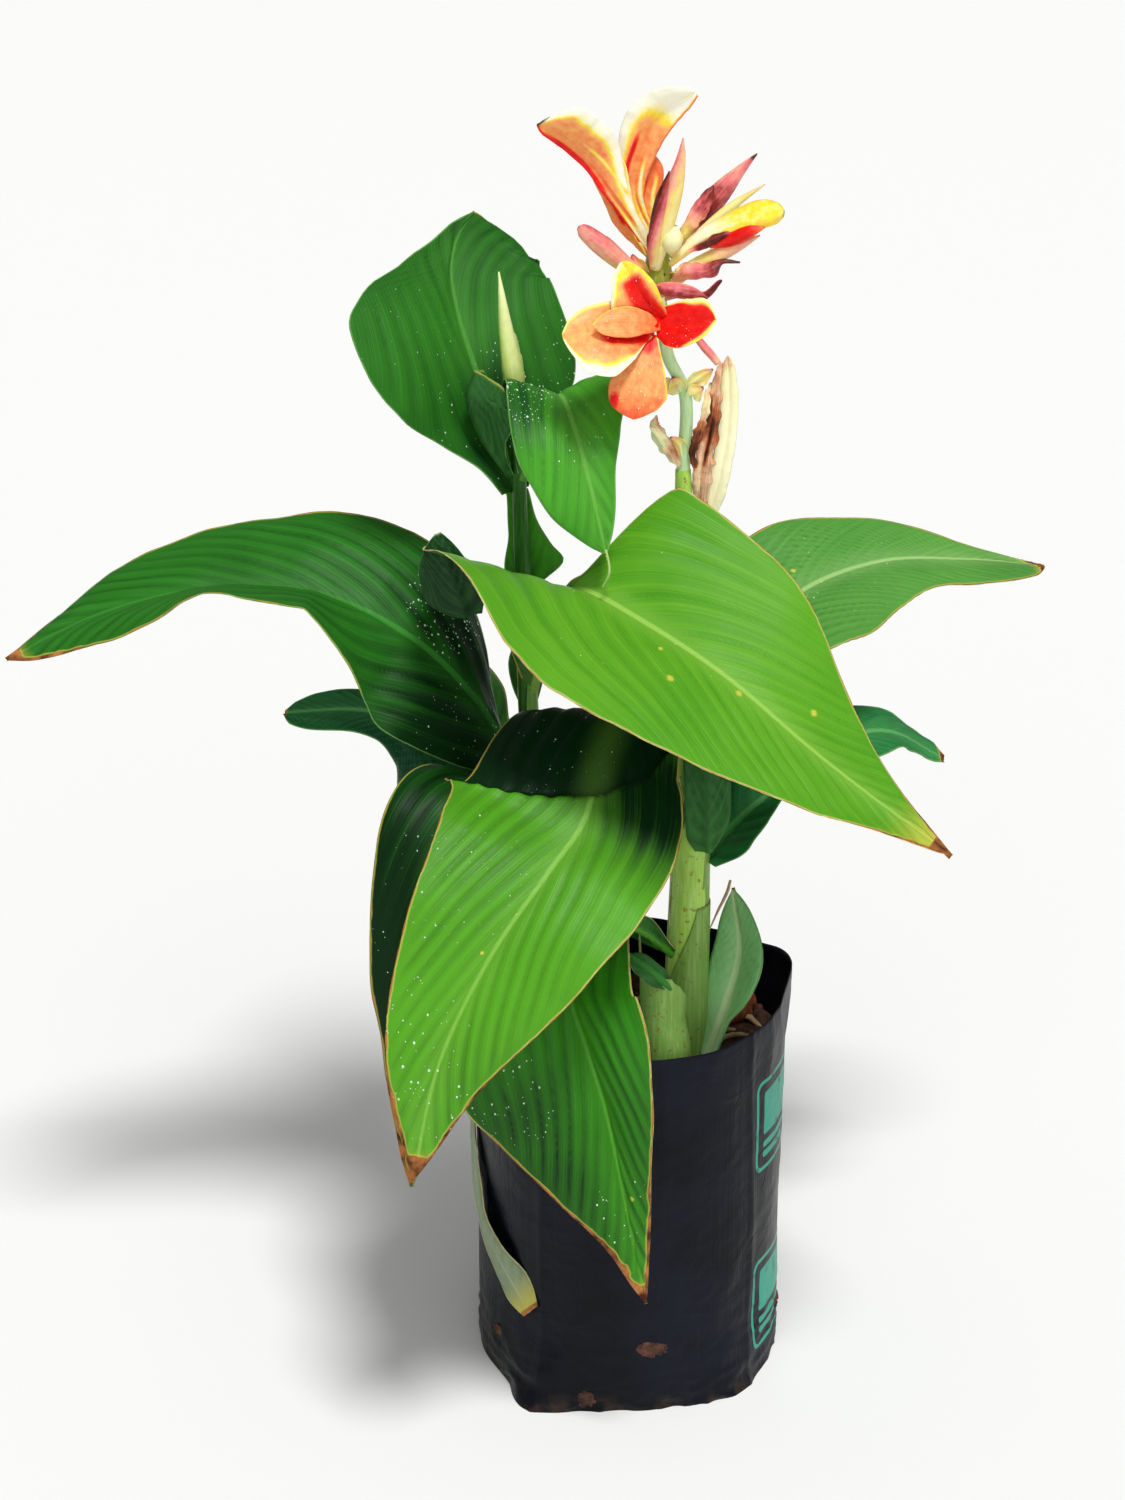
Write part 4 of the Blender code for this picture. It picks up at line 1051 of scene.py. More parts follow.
        ((0, 3), (0.2, 30), (0.45, 48), (0.7, 36), (0.88, 17), (1, 0)),
        ((0, 3), (0.2, 30), (0.45, 46), (0.7, 35), (0.88, 17), (1, 0)),
        liftLeft=(0, 30, 15, 0), liftRight=(0, 30, 15, 0), seed=11,
        tone=(0.3, 0.45, 0.55, 0.5), pleat=1.4, dryLeft=(0.2, 0.5, 0.6, 2.0), dryRight=(0.2, 0.5, 0.6, 2.0)),
    "leafBackLeft": leafShape(
        ("leaf_back_left",),
        [beside("left", 370, 115, -2), (-88, 46, 402), (-107, 90, 412), (-126, 134, 400), (-146, 166, 366)],
        (115,),
        ((0, 3), (0.2, 26), (0.45, 42), (0.7, 32), (0.88, 15), (1, 0)),
        ((0, 3), (0.2, 12), (0.45, 26), (0.7, 30), (0.88, 15), (1, 0)),
        liftLeft=(0, 25, 10, 0), liftRight=(0, 0, 5, 0), seed=12,
        tone=(0.2, 0.4, 0.5, 0.5), pleat=1.4, dryLeft=(0.2, 0.5, 0.6, 2.0), dryRight=(0.2, 0.5, 0.6, 2.0)),
    "leafBaseRight": leafShape(
        ("leaf_base_right",),
        [(42, -48, 208), (56, -39, 250), (66, -26, 287), (62, -10, 322)],
        (60,),
        ((0, 4), (0.35, 13), (0.6, 18), (0.82, 13), (1, 0)),
        ((0, 4), (0.32, 6), (0.45, 15), (0.6, 21), (0.85, 12), (1, 0)),
        liftLeft=(0, 20, 10), liftRight=(0, 20, 10), kind="greyGreen", seed=13, tip=1, ripe=0,
        tone=(1.0, 0.95, 0.85, 0.7), pleat=0.6, ribWidth=(7, 1.5), ribThick=4.0, ripple=1.2, rippleLength=4),
    "leafOldLeft": leafShape(
        ("leaf_old_left_arch", "leaf_old_left_blade"),
        [beside("left", 252, 170, -2), (-82, 15, 272), (-101, 11, 258), (-100, 4, 200), (-98, -14, 150),
         (-91, -40, 102), (-63, -79, 62)],
        (180, 180, 185, 195, 230),
        ((0, 2), (0.5, 8), (0.72, 15), (0.92, 16), (1, 8)),
        ((0, 2), (0.5, 8), (0.72, 14), (0.92, 14), (1, 6)),
        kind="old", seed=14, tip=2.5, ripe=22, tone=(0.2, 0.3, 0.4, 0.5), pleat=0.4, ripple=0.8, rippleLength=5),
    "sheathUpper": leafShape(
        ("sheath_upper",),
        [beside("left", 500, 90, 0.4), (-66, 15, 530), beside("left", 572, 90, 0.4)],
        (90,), ((0, 2), (0.3, 11), (0.6, 8), (0.9, 8), (1, 9)),
        ((0, 2), (0.15, 10), (0.36, 25), (0.5, 18), (0.75, 9), (1, 5)),
        kind="crownFront", seed=15, tip=0, ripe=0, tone=(0.5, 0.9, 0.5), pleat=0.4, ripple=1.0, rippleLength=4),
    "sheathLower": leafShape(
        ("sheath_lower",),
        [beside("left", 425, 90, 0.4), (-64, 15, 452), beside("left", 478, 90, 0.4)],
        (90,), ((0, 2), (0.4, 9), (0.65, 10.5), (1, 4)), ((0, 2), (0.4, 10), (0.7, 14), (0.9, 11), (1, 4)),
        kind="crown", seed=16, tip=0, ripe=0, tone=(0.2, 0.3), pleat=0.4, ripple=1.0, rippleLength=4),
    "sheathCrown": leafShape(
        ("sheath_crown",),
        [beside("left", 582, 180, 0.4), (-88, 10, 604), (-97, 10, 628), (-92, 11, 645)],
        (180,),
        ((0, 4), (0.3, 23), (0.6, 42), (0.85, 43), (1, 26)), ((0, 4), (0.3, 18), (0.6, 26), (0.85, 24), (1, 8)),
        liftLeft=(24, 40, 40), liftRight=(20, 34, 30), kind="crownFront", seed=17, tip=0, ripe=0, ribbed=False,
        tone=(0.6, 0.55), pleat=0.3, ripple=0.4, rippleLength=4),
    # the dark fold of the low left leaf that shows behind the front leaf's lobe; its near-black tone is painted shade
    "farLeftCurl": leafShape(
        (), [(-98, -40, 512), (-103, -42, 530), (-109, -42, 549), (-114, -38, 563)], (-90,),
        ((0, 10), (0.3, 16), (0.7, 10), (1, 2)), ((0, 5), (0.12, 13), (0.3, 20), (0.6, 19), (0.85, 12), (1, 2)),
        kind="deep", seed=18, tip=0, ripe=0, ribbed=False, tone=(-0.05,), pleat=0.6, ripple=0.6, rippleLength=4),
    # a dark wing of a leaf foot stands against the main stem under the front leaf
    "mainWing": leafShape(
        (), [(45, -42, 362), (44.5, -43, 380), (44, -43, 402), (43, -42, 430)], (-90,),
        ((0, 2), (0.1, 7), (0.3, 13), (0.5, 14), (1, 14)), ((0, 8), (0.15, 13), (0.4, 14), (1, 14)),
        kind="crown", seed=19, tip=0, ripe=0, ribbed=False, tone=(0.9, 0.7, 0.5), pleat=0.5, ripple=0.8,
        rippleLength=5),
    "cutScrap": leafShape(
        (), [(22, -74, 287), (12, -79, 300), (2, -80, 309), (-4, -78, 312)], (-60,),
        ((0, 2), (0.3, 6), (0.7, 6), (1, 1)), ((0, 2), (0.3, 7), (0.7, 8), (1, 1)),
        kind="deep", seed=20, tip=1, ripe=0, tone=(0.3, 0.5), pleat=0.4, ripple=1.4, rippleLength=2),
}
for leafName, leaf in leaves.items():
    makeLeaf(leafName, leaf)
print("leaves ready")


# stems and sheaths

def stemTree():
    # a stem along a line of points whose girth attribute is its radius in millimetres
    tree, add, given = startTree("stemSkin", {"Sides": 24, "Ridge Height": 0.0004, "Ridges": 1.0, "Lumps": 0.0,
                                              "Lump Size": 0.01})
    girth = add("GeometryNodeInputNamedAttribute", {"Name": "girth"}, data_type="FLOAT")
    line = add("GeometryNodeMeshToCurve", {0: given["Geometry"]})
    ring = add("GeometryNodeCurvePrimitiveCircle", {"Resolution": given["Sides"], "Radius": mm})
    skin = add("GeometryNodeCurveToMesh", {"Curve": line, "Profile Curve": ring, "Scale": girth, "Fill Caps": True})
    where = add("GeometryNodeInputPosition")
    # ridges run lengthwise: noise that is stretched up the stem
    stretched = add("ShaderNodeVectorMath", (where, (1.0, 1.0, 0.05)), operation="MULTIPLY")
    often = add("ShaderNodeMath", (given["Ridges"], 330.0), operation="MULTIPLY")
    long = add("ShaderNodeTexNoise", {"Vector": stretched, "Scale": often, "Detail": 1.0})
    small = add("ShaderNodeMath", (1.0, given["Lump Size"]), operation="DIVIDE")
    blob = add("ShaderNodeTexNoise", {"Vector": where, "Scale": small, "Detail": 3.0})
    rise = 0.0
    for source, height in ((long, "Ridge Height"), (blob, "Lumps")):
        wave = add("ShaderNodeMath", (source, 0.5), operation="SUBTRACT")
        rise = add("ShaderNodeMath", (wave, given[height], rise), operation="MULTIPLY_ADD")
    push = add("ShaderNodeVectorMath", (add("GeometryNodeInputNormal"), rise), operation="SCALE")
    return endTree(tree, add("GeometryNodeSetPosition", {"Geometry": skin, "Offset": push}), given)


stemSkin = stemTree()


def makeStem(name, routes, made, count, sides, sizes):
    # one piece from one or more routes of (x, y, z, radius) in millimetres
    points, edges, girths = [], [], []
    for route in routes:
        path = smoothPath(route, count)
        edges += [(len(points) + i, len(points) + i + 1) for i in range(count - 1)]
        points += (path[:, :3] * mm).tolist()
        girths += path[:, 3].tolist()
    mesh = bpy.data.meshes.new(name)
    mesh.from_pydata(points, edges, [])
    mesh.attributes.new("girth", "FLOAT", "POINT").data.foreach_set("value", girths)
    obj = newObject(name, mesh)
    runTree(obj, stemSkin, {"Sides": sides, "Material": made, **sizes})
    return settle(obj, ("girth",))


def stemMaterial(name, low, high, streak, roughness=0.42, stretch=0.06, fleck=None):
    # fleshy green stem under a smooth waxy skin, with fine streaks running up it
    made, add, shader = startMaterial(name, Roughness=roughness, IOR=1.45, Specular_IOR_Level=0.22,
                                      Coat_Weight=0.05, Coat_Roughness=0.25)
    where = add("ShaderNodeTexCoord").outputs["Object"]
    up = add("ShaderNodeMapping", {"Vector": where, "Scale": (1.0, 1.0, stretch)})
    fine = add("ShaderNodeTexNoise", {"Vector": up, "Scale": 620.0, "Detail": 3.0})
    cloud = add("ShaderNodeTexNoise", {"Vector": where, "Scale": 22.0, "Detail": 3.0})
    colour = add("ShaderNodeMix", (cloud, linear(low), linear(high)), data_type="RGBA")
    line = add("ShaderNodeMapRange", {"Value": fine, "From Min": 0.45, "From Max": 0.75, "To Max": 0.6})
    colour = add("ShaderNodeMix", (line, colour, linear(streak)), data_type="RGBA")
    if fleck:
        spot = add("ShaderNodeTexNoise", {"Vector": where, "Scale": 240.0, "Detail": 3.0})
        few = add("ShaderNodeMapRange", (spot, 0.62, 0.70))
        colour = add("ShaderNodeMix", (few, colour, linear(fleck)), data_type="RGBA")
    feed(shader, Base_Color=colour,
         Normal=add("ShaderNodeBump", {"Height": fine, "Strength": 0.35, "Distance": 0.0005}))
    return made


paleStem = stemMaterial("fleshyPaleStem", "#98CC3A", "#BEE86A", "#D2F094", fleck="#9A7B45")
deepStem = stemMaterial("fleshyDeepStem", "#123A0C", "#3C7C2C", "#5C9840")
stalkSkin = stemMaterial("waxyFlowerStalk", "#B2DE98", "#D2F0BC", "#E8F8D8")
hubSkin = stemMaterial("knobblyFlowerHub", "#7F8E22", "#A9B848", "#CFD67A", fleck="#4A3A18")
sheathSkins = (stemMaterial("leafSheathOutside", "#5F9136", "#8FBA58", "#A9CB76", fleck="#8A6A3A"),
               stemMaterial("leafSheathInside", "#6F9A4A", "#9DBF70", "#B5D08C"))


def wrapSheet(name, stem, low, high, start, end, out=0.7, thick=0.7, puff=0.35, ragged=0.0, flare=0.0,
              rows=46, columns=40, seed=0):
    # a leaf sheath round a stem from one height to another; start and end are its two edges' headings,
    # given evenly from foot to top
    x, y, z, radius = np.array(stems[stem], float).T
    points = []
    for t in np.linspace(0, 1, rows):
        first, last = spread(start, t), spread(end, t)
        for column in np.linspace(0, 1, columns):
            heading = first + (last - first) * column
            top = high(column) if callable(high) else high
            top += ragged * wander(np.array(column * 3.1), seed + 1)
            level = low + (top - low) * t
            reach = np.interp(level, z, radius) + out + flare * t ** 3
            reach += puff * math.sin(math.pi * min(column, 1 - column) * 2)
            turn = math.radians(heading)
            points.append(((np.interp(level, z, x) + reach * math.cos(turn)) * mm,
                           (np.interp(level, z, y) + reach * math.sin(turn)) * mm, level * mm))
    obj = newMesh(name, points, gridFaces(rows, columns), materials=[*sheathSkins, marginSkin])
    shell = obj.modifiers.new("thickness", "SOLIDIFY")
    shell.thickness = thick * mm
    shell.offset = -1
    shell.material_offset = 1
    shell.material_offset_rim = 2
    return settle(obj)


# each stem's route, skin, places along it and round it, its node, and the size of its relief
for stemName, route, made, count, sides, node, sizes in (
        ("mainStem", "main", paleStem, 90, 40, "main_stem", {"Ridge Height": 1.1 * mm}),
        ("leftStem", "left", deepStem, 90, 32, "left_stem", {"Ridge Height": 0.9 * mm}),
        ("cutShoot", "cut", paleStem, 30, 40, "cut_shoot", {"Ridge Height": 1.0 * mm}),
        ("flowerStalk", "stalk", stalkSkin, 60, 24, "flower_stalk", {"Ridge Height": 0.6 * mm}),
        ("flowerHub", "hub", hubSkin, 30, 28, "flower_hub",
         {"Ridge Height": 1.0 * mm, "Lumps": 2 * mm, "Lump Size": 6 * mm})):
    place(makeStem(stemName, [stems[route]], made, count, sides, sizes), "stem_skin", node)

# two sheaths wrap the main stem, each edge climbing across its front, and one ragged shell stands round the cut shoot
sheaths = {
    "mainSheathLow": dict(stem="main", low=206, high=324, start=(-160, -150, -70), end=(170, 165, 150), seed=1,
                          out=1.3),
    "mainSheathHigh": dict(stem="main", low=240, high=361, start=(-95, -70, -40), end=(215, 200, 190), seed=2,
                           out=0.6),
    "cutSheath": dict(stem="cut", low=206, high=lambda share: 317 - 46 * share, start=(-200, -195), end=(40, 30),
                      ragged=3.5, flare=1.5, seed=3, out=0.9),
    "leftSheath": dict(stem="left", low=300, high=470, start=(-150, -120, -80), end=(190, 180, 170), seed=4, out=0.5),
}
for sheathName, sizes in sheaths.items():
    place(wrapSheet(sheathName, **sizes), "leaf_blade")
print("stems ready")


# the blooms, their buds and the withered bracts

def bloomSkin(name, ramp, roughness, streaks, dead="#5A3122"):
    # thin flower tissue: its colour comes from the tone that each sheet carries, broken up by fine streaks
    made, add, shader = startMaterial(name, Roughness=roughness, IOR=1.4, Specular_IOR_Level=0.3)
    vein, _, dry, ribField, tone, _, where = readMaps(add)
    fringe = add("ShaderNodeTexNoise", {"Vector": where, "Scale": 260.0, "Detail": 3.0})
    lane = add("ShaderNodeCombineXYZ", (add("ShaderNodeMath", (vein, 0.5), operation="MULTIPLY"),
                                        add("ShaderNodeMath", (ribField, 16.0), operation="MULTIPLY")))
    streak = add("ShaderNodeTexNoise", {"Vector": lane, "Scale": 1.0, "Detail": 2.0})
    value = tone
    for source, share in ((fringe, 0.30), (streak, streaks)):
        broken = add("ShaderNodeMath", (source, 0.5), operation="SUBTRACT")
        value = add("ShaderNodeMath", (broken, share, value), operation="MULTIPLY_ADD")
    value.use_clamp = True
    frayed = add("ShaderNodeMath", (fringe, 0.2, -0.1), operation="MULTIPLY_ADD")
    worn = add("ShaderNodeMath", (dry, frayed), operation="ADD")
    wilt = add("ShaderNodeMapRange", (worn, -0.06, 0.06))
    colour = add("ShaderNodeMix", (wilt, add("ShaderNodeValToRGB", (value,), ramp), linear(dead)), data_type="RGBA")
    height = add("ShaderNodeMath", (fringe, 0.6, streak), operation="MULTIPLY_ADD")
    feed(shader, Base_Color=colour,
         Normal=add("ShaderNodeBump", {"Height": height, "Strength": 0.3, "Distance": 0.0003}))
    return made


petalSkin = bloomSkin("cannaPetal", ((0.0, "#FFFDEA"), (0.16, "#FFF8B0"), (0.30, "#FFE42A"), (0.44, "#FFB76E"),
                                     (0.60, "#FA814A"), (0.80, "#F22E22"), (1.0, "#DE0A0A")), 0.42, 0.16)
bractSkin = bloomSkin("budBract", ((0.0, "#F0F4BE"), (0.22, "#F6E27C"), (0.42, "#F8B694"), (0.62, "#E8787C"),
                                   (0.82, "#96302E"), (1.0, "#3E1A14")), 0.40, 0.26)
witheredSkin = bloomSkin("witheredBract", ((0.0, "#FFFBD0"), (0.25, "#F4EDB4"), (0.45, "#E3B490"), (0.62, "#B5683C"),
                                           (0.80, "#6B3220"), (1.0, "#24120C")), 0.60, 0.40)


def petalShape(nodes, rib, heading, left, right, **more):
    usual = {"bow": 20, "pleat": 0.10, "pleatSpacing": 0.35, "ripple": 0.7, "rippleLength": 1.3, "buckle": 0.5,
             "veinSlant": (0.2, 2.0), "ribWidth": (2.0, 0.6), "ribThick": 0.8, "bladeThick": 0.45, "tip": -1,
             "step": 0.9}
    return leafShape(nodes, rib, heading, left, right, **{**usual, **more})


petals = {
    "petalLeft": petalShape(
        ("petal_left",), [(9, -33, 684), (-4, -42, 686), (-21, -49, 687), (-42, -54, 686)], (180,),
        ((0, 3), (0.15, 9), (0.4, 22), (0.6, 29), (0.8, 26), (0.93, 14), (1, 2)),
        ((0, 3), (0.2, 13), (0.45, 18), (0.7, 16), (0.88, 11), (1, 2)),
        roll=50, liftLeft=(0, 6, 8), liftRight=(0, 6, 10), tone=(0.75, 0.56, 0.5, 0.47, 0.46), seed=21,
        rimLeft=((0.3, 1.5, 7.2, 7.6, 3.0), 0.03), rimRight=((0.5, 2.2, 2.4, 1.8), 0.20),
        strokes=((0.06, 0.64, -4.4, 4.6, 0.99),)),
    "petalLeftInner": petalShape(
        (), [(13, -37, 686), (2, -45.5, 690.5), (-9, -51, 692.5), (-25, -55.5, 693)], (180,),
        ((0, 2), (0.3, 6.0), (0.6, 8.5), (0.85, 6.5), (1, 0.5)),
        ((0, 3), (0.25, 9), (0.55, 11.5), (0.85, 7), (1, 0.5)),
        roll=52, bow=34, liftLeft=(-6,), liftRight=(-4,), tone=(0.62, 0.55, 0.50, 0.47), seed=22,
        rimRight=((0.2, 0.8, 1.0, 0.8), 0.28)),
    "petalTop": petalShape(
        ("petal_top",), [(13, -33, 690), (4, -38, 703), (-2, -38, 713), (-9, -36, 724)], (90,),
        ((0, 3), (0.22, 12), (0.45, 20), (0.7, 15), (0.9, 8), (1, 1)),
        ((0, 5), (0.3, 9), (0.5, 10.5), (0.75, 8.5), (0.92, 5), (1, 1)),
        liftLeft=(0, 10, 14), liftRight=(0, 14, 20), tone=(0.9, 0.62, 0.5, 0.44, 0.30, 0.28), seed=23,
        rimLeft=((0.3, 2.2, 3.2, 3.0), 0.10), rimRight=((1.4, 3.0, 3.6, 3.0), 0.29),
        strokes=((-0.1, 0.80, -1.0, 6.6, 0.98),)),
    "petalRight": petalShape(
        ("petal_right",), [(11, -34, 685), (29, -40, 690), (44, -44, 693)], (0,),
        ((0, 8), (0.2, 12), (0.5, 14), (0.8, 13), (0.95, 8), (1, 2)),
        ((0, 6), (0.15, 12), (0.4, 15.5), (0.65, 14), (0.85, 10), (1, 2)),
        roll=-50, liftLeft=(0, 8, 18), liftRight=(0, 8, 14), tone=(0.95, 0.97, 0.97, 0.92), seed=24,
        ripple=1.4, rimLeft=((0.1, 1.0, 4.4, 3.4), 0.14), rimRight=((0.1, 0.3, 2.4, 4.0), 0.27)),
    "petalLip": petalShape(
        ("petal_lip",), [(8.5, -36, 682), (3, -49, 666), (-0.5, -55, 652.5), (-2.4, -57, 638.5)], (-90,),
        ((0, 2.5), (0.2, 8), (0.45, 14), (0.68, 17.5), (0.85, 14), (0.95, 7), (1, 1)),
        ((0, 3), (0.2, 9), (0.45, 13.5), (0.68, 16.5), (0.85, 14), (0.95, 8), (1, 1)),
        bow=14, liftLeft=(0, -8, -4), liftRight=(0, -8, -4), tone=(0.8, 0.56, 0.5, 0.5, 0.56, 0.72), seed=25,
        rimLeft=((0.4, 0.9, 0.9, 0.5), 0.30), rimRight=((0.4, 0.7, 0.7, 1.5), 0.62),
        strokes=((0.02, 0.27, 0.5, 3.4, 0.97), (0.72, 0.95, 12.0, 2.4, 0.93))),
    "tallPetalLeft": petalShape(
        ("tall_petal_left",), [beside("hub", 720, 200, -1), (-14, -4.5, 752), (-31, -6, 775), (-56, -12, 796)],
        (90,),
        ((0, 2), (0.4, 3), (0.8, 3.6), (0.95, 3), (1, 1)),
        ((0, 3), (0.3, 8), (0.5, 16), (0.7, 26), (0.88, 28), (0.96, 18), (1, 4)),
        bow=26, liftLeft=(0, 20), liftRight=(0, 4, 10), tone=(0.10, 0.12, 0.42, 0.52, 0.54, 0.52, 0.46), seed=26,
        tip=1.2, rimLeft=((0.8, 1.6, 2.4, 1.4), 0.92), rimRight=((0.6, 2.8, 6.4, 8.4, 6.5), 0.0),
        strokes=((0.15, 0.6, 2.0, 1.1, 0.62), (0.42, 0.94, -1.8, 1.5, 0.93), (0.3, 0.75, 9.0, 1.0, 0.24))),
    "tallPetalRight": petalShape(
        ("tall_petal_right",), [beside("hub", 720, 75, -1), (-1, 3, 752), (5, 2, 783), (16, 0, 801), (32, -4, 812)],
        (90,),
        ((0, 2), (0.3, 6), (0.52, 14), (0.72, 18.5), (0.9, 14), (1, 4)),
        ((0, 2), (0.3, 5), (0.55, 8.5), (0.75, 10), (0.9, 8), (1, 3)),
        bow=26, liftLeft=(0, 10, 10), liftRight=(0, 12, 12), tone=(0.10, 0.12, 0.36, 0.50, 0.52, 0.48, 0.0, 0.0),
        seed=27, rimLeft=((0.6, 1.6, 4.4, 8.2, 9.0), 0.0), rimRight=((0.4, 0.8, 1.0, 1.8), 0.62),
        strokes=((0.36, 0.68, -6.4, 1.3, 0.96), (0.1, 0.6, 0.8, 0.9, 0.55), (0.2, 0.55, 3.2, 1.0, 0.08))),
    "tallPetalNarrow": petalShape(
        ("tall_petal_narrow",), [beside("hub", 716, 150, -1), (-9, 2, 736), (-17, 2, 752), (-28, 2, 768)], (90,),
        ((0, 1.5), (0.5, 4.2), (0.8, 3), (1, 0)), ((0, 1.5), (0.5, 3.6), (0.8, 2.6), (1, 0)),
        bow=40, tone=(0.40, 0.5, 0.56, 0.7), seed=28, tip=5, rimLeft=((0.8, 1.2), 0.52),
        strokes=((0.35, 0.98, 1.6, 1.5, 0.99),)),
    "tallPetalBehind": petalShape(
        (), [beside("hub", 716, 60, -1), (8, 5, 745), (10, 6, 762), (7, 6, 777)], (90,),
        ((0, 1.5), (0.5, 5), (0.8, 4.6), (1, 0)), ((0, 1.5), (0.5, 5), (0.8, 5.4), (1, 0)),
        bow=30, tone=(0.3, 0.42, 0.60, 0.62), seed=29, rimLeft=((0.8, 1.2), 0.68),
        strokes=((0.1, 0.8, 1.0, 1.0, 0.14),)),
    "tallPetalPale": petalShape(
        (), [beside("hub", 718, 190, -0.5), (-5, -3, 745), (-9, -3, 765), (-12, -4, 780)], (90,),
        ((0, 1.5), (0.5, 4.2), (0.8, 4.0), (1, 0)), ((0, 1.5), (0.5, 4.2), (0.8, 4.0), (1, 0)),
        bow=30, tone=(0.24, 0.14, 0.2, 0.42), seed=30, rimLeft=((0.6,), 0.3), rimRight=((0.6,), 0.08)),
}
for petalName, petal in petals.items():
    makeLeaf(petalName, petal, "petal", (petalSkin,))


def makeSpindle(name, made, path, tones, shade=0.0, toward=0.0, folds=3, lap=0.12, twist=0.5, dryTip=0.0,
                crumple=0.0, columns=26, rows=44, slot="bud_skin", nodes=(), seed=0):
    # a closed bud along (x, y, z, radius): overlapping bracts that wind round it; tones run from foot to tip, and
    # the side that faces the heading `toward` takes `shade` more
    line = smoothPath(path, rows)
    places, girth = line[:, :3], np.maximum(line[:, 3], 0.15)
    ahead = np.gradient(places, axis=0)
    ahead /= np.linalg.norm(ahead, axis=1)[:, None]
    level = np.cross(ahead, (0.0, 0.0, 1.0)) + (1e-6, 0, 0)
    level /= np.linalg.norm(level, axis=1)[:, None]
    above = np.cross(level, ahead)
    t = np.linspace(0, 1, rows)
    turn = np.linspace(0, 2 * math.pi, columns, endpoint=False)
    phase = (turn[None, :] / (2 * math.pi) * folds + twist * t[:, None] + seed * 0.37) % 1.0
    swell = 1 + lap * (phase - 0.5) * np.sin(math.pi * np.clip(t, 0.02, 1))[:, None] ** 0.5
    grain = np.array([[noise.noise(Vector((math.cos(a) * 1.4 + seed, math.sin(a) * 1.4, row * 7.0)))
                       for a in turn] for row in t])
    radius = girth[:, None] * swell * (1 + crumple * grain)
    out = np.cos(turn)[None, :, None] * level[:, None, :] + np.sin(turn)[None, :, None] * above[:, None, :]
    points = places[:, None, :] + radius[:, :, None] * out
    facing = out[:, :, 0] * math.cos(math.radians(toward)) + out[:, :, 1] * math.sin(math.radians(toward))
    tone = spread(tones, t)[:, None] + shade * facing + 0.10 * (phase - 0.5)
    length = np.linalg.norm(np.diff(places, axis=0), axis=1).sum()
    dry = dryTip - (1 - t[:, None]) * length + 0 * facing
    faces = gridFaces(rows, columns, closed=True)
    faces += [tuple(reversed(range(columns))), tuple(range((rows - 1) * columns, rows * columns))]
    ring = np.broadcast_to(turn[None, :], tone.shape)
    along = np.broadcast_to(t[:, None] * length, tone.shape)
    ones = np.ones(tone.size)
    uvs = {"veins": np.stack([ring.ravel(), along.ravel() * cm], 1),
           "edges": np.stack([ones, dry.ravel() * cm], 1),
           "middle": np.stack([(girth[:, None] * np.sin(ring)).ravel() * cm, np.clip(tone, 0, 1).ravel()], 1),
           "age": np.stack([ones * 0, along.ravel() / length], 1)}
    return place(newMesh(name, points.reshape(-1, 3) * mm, faces, uvs, materials=[made]), slot, *nodes)


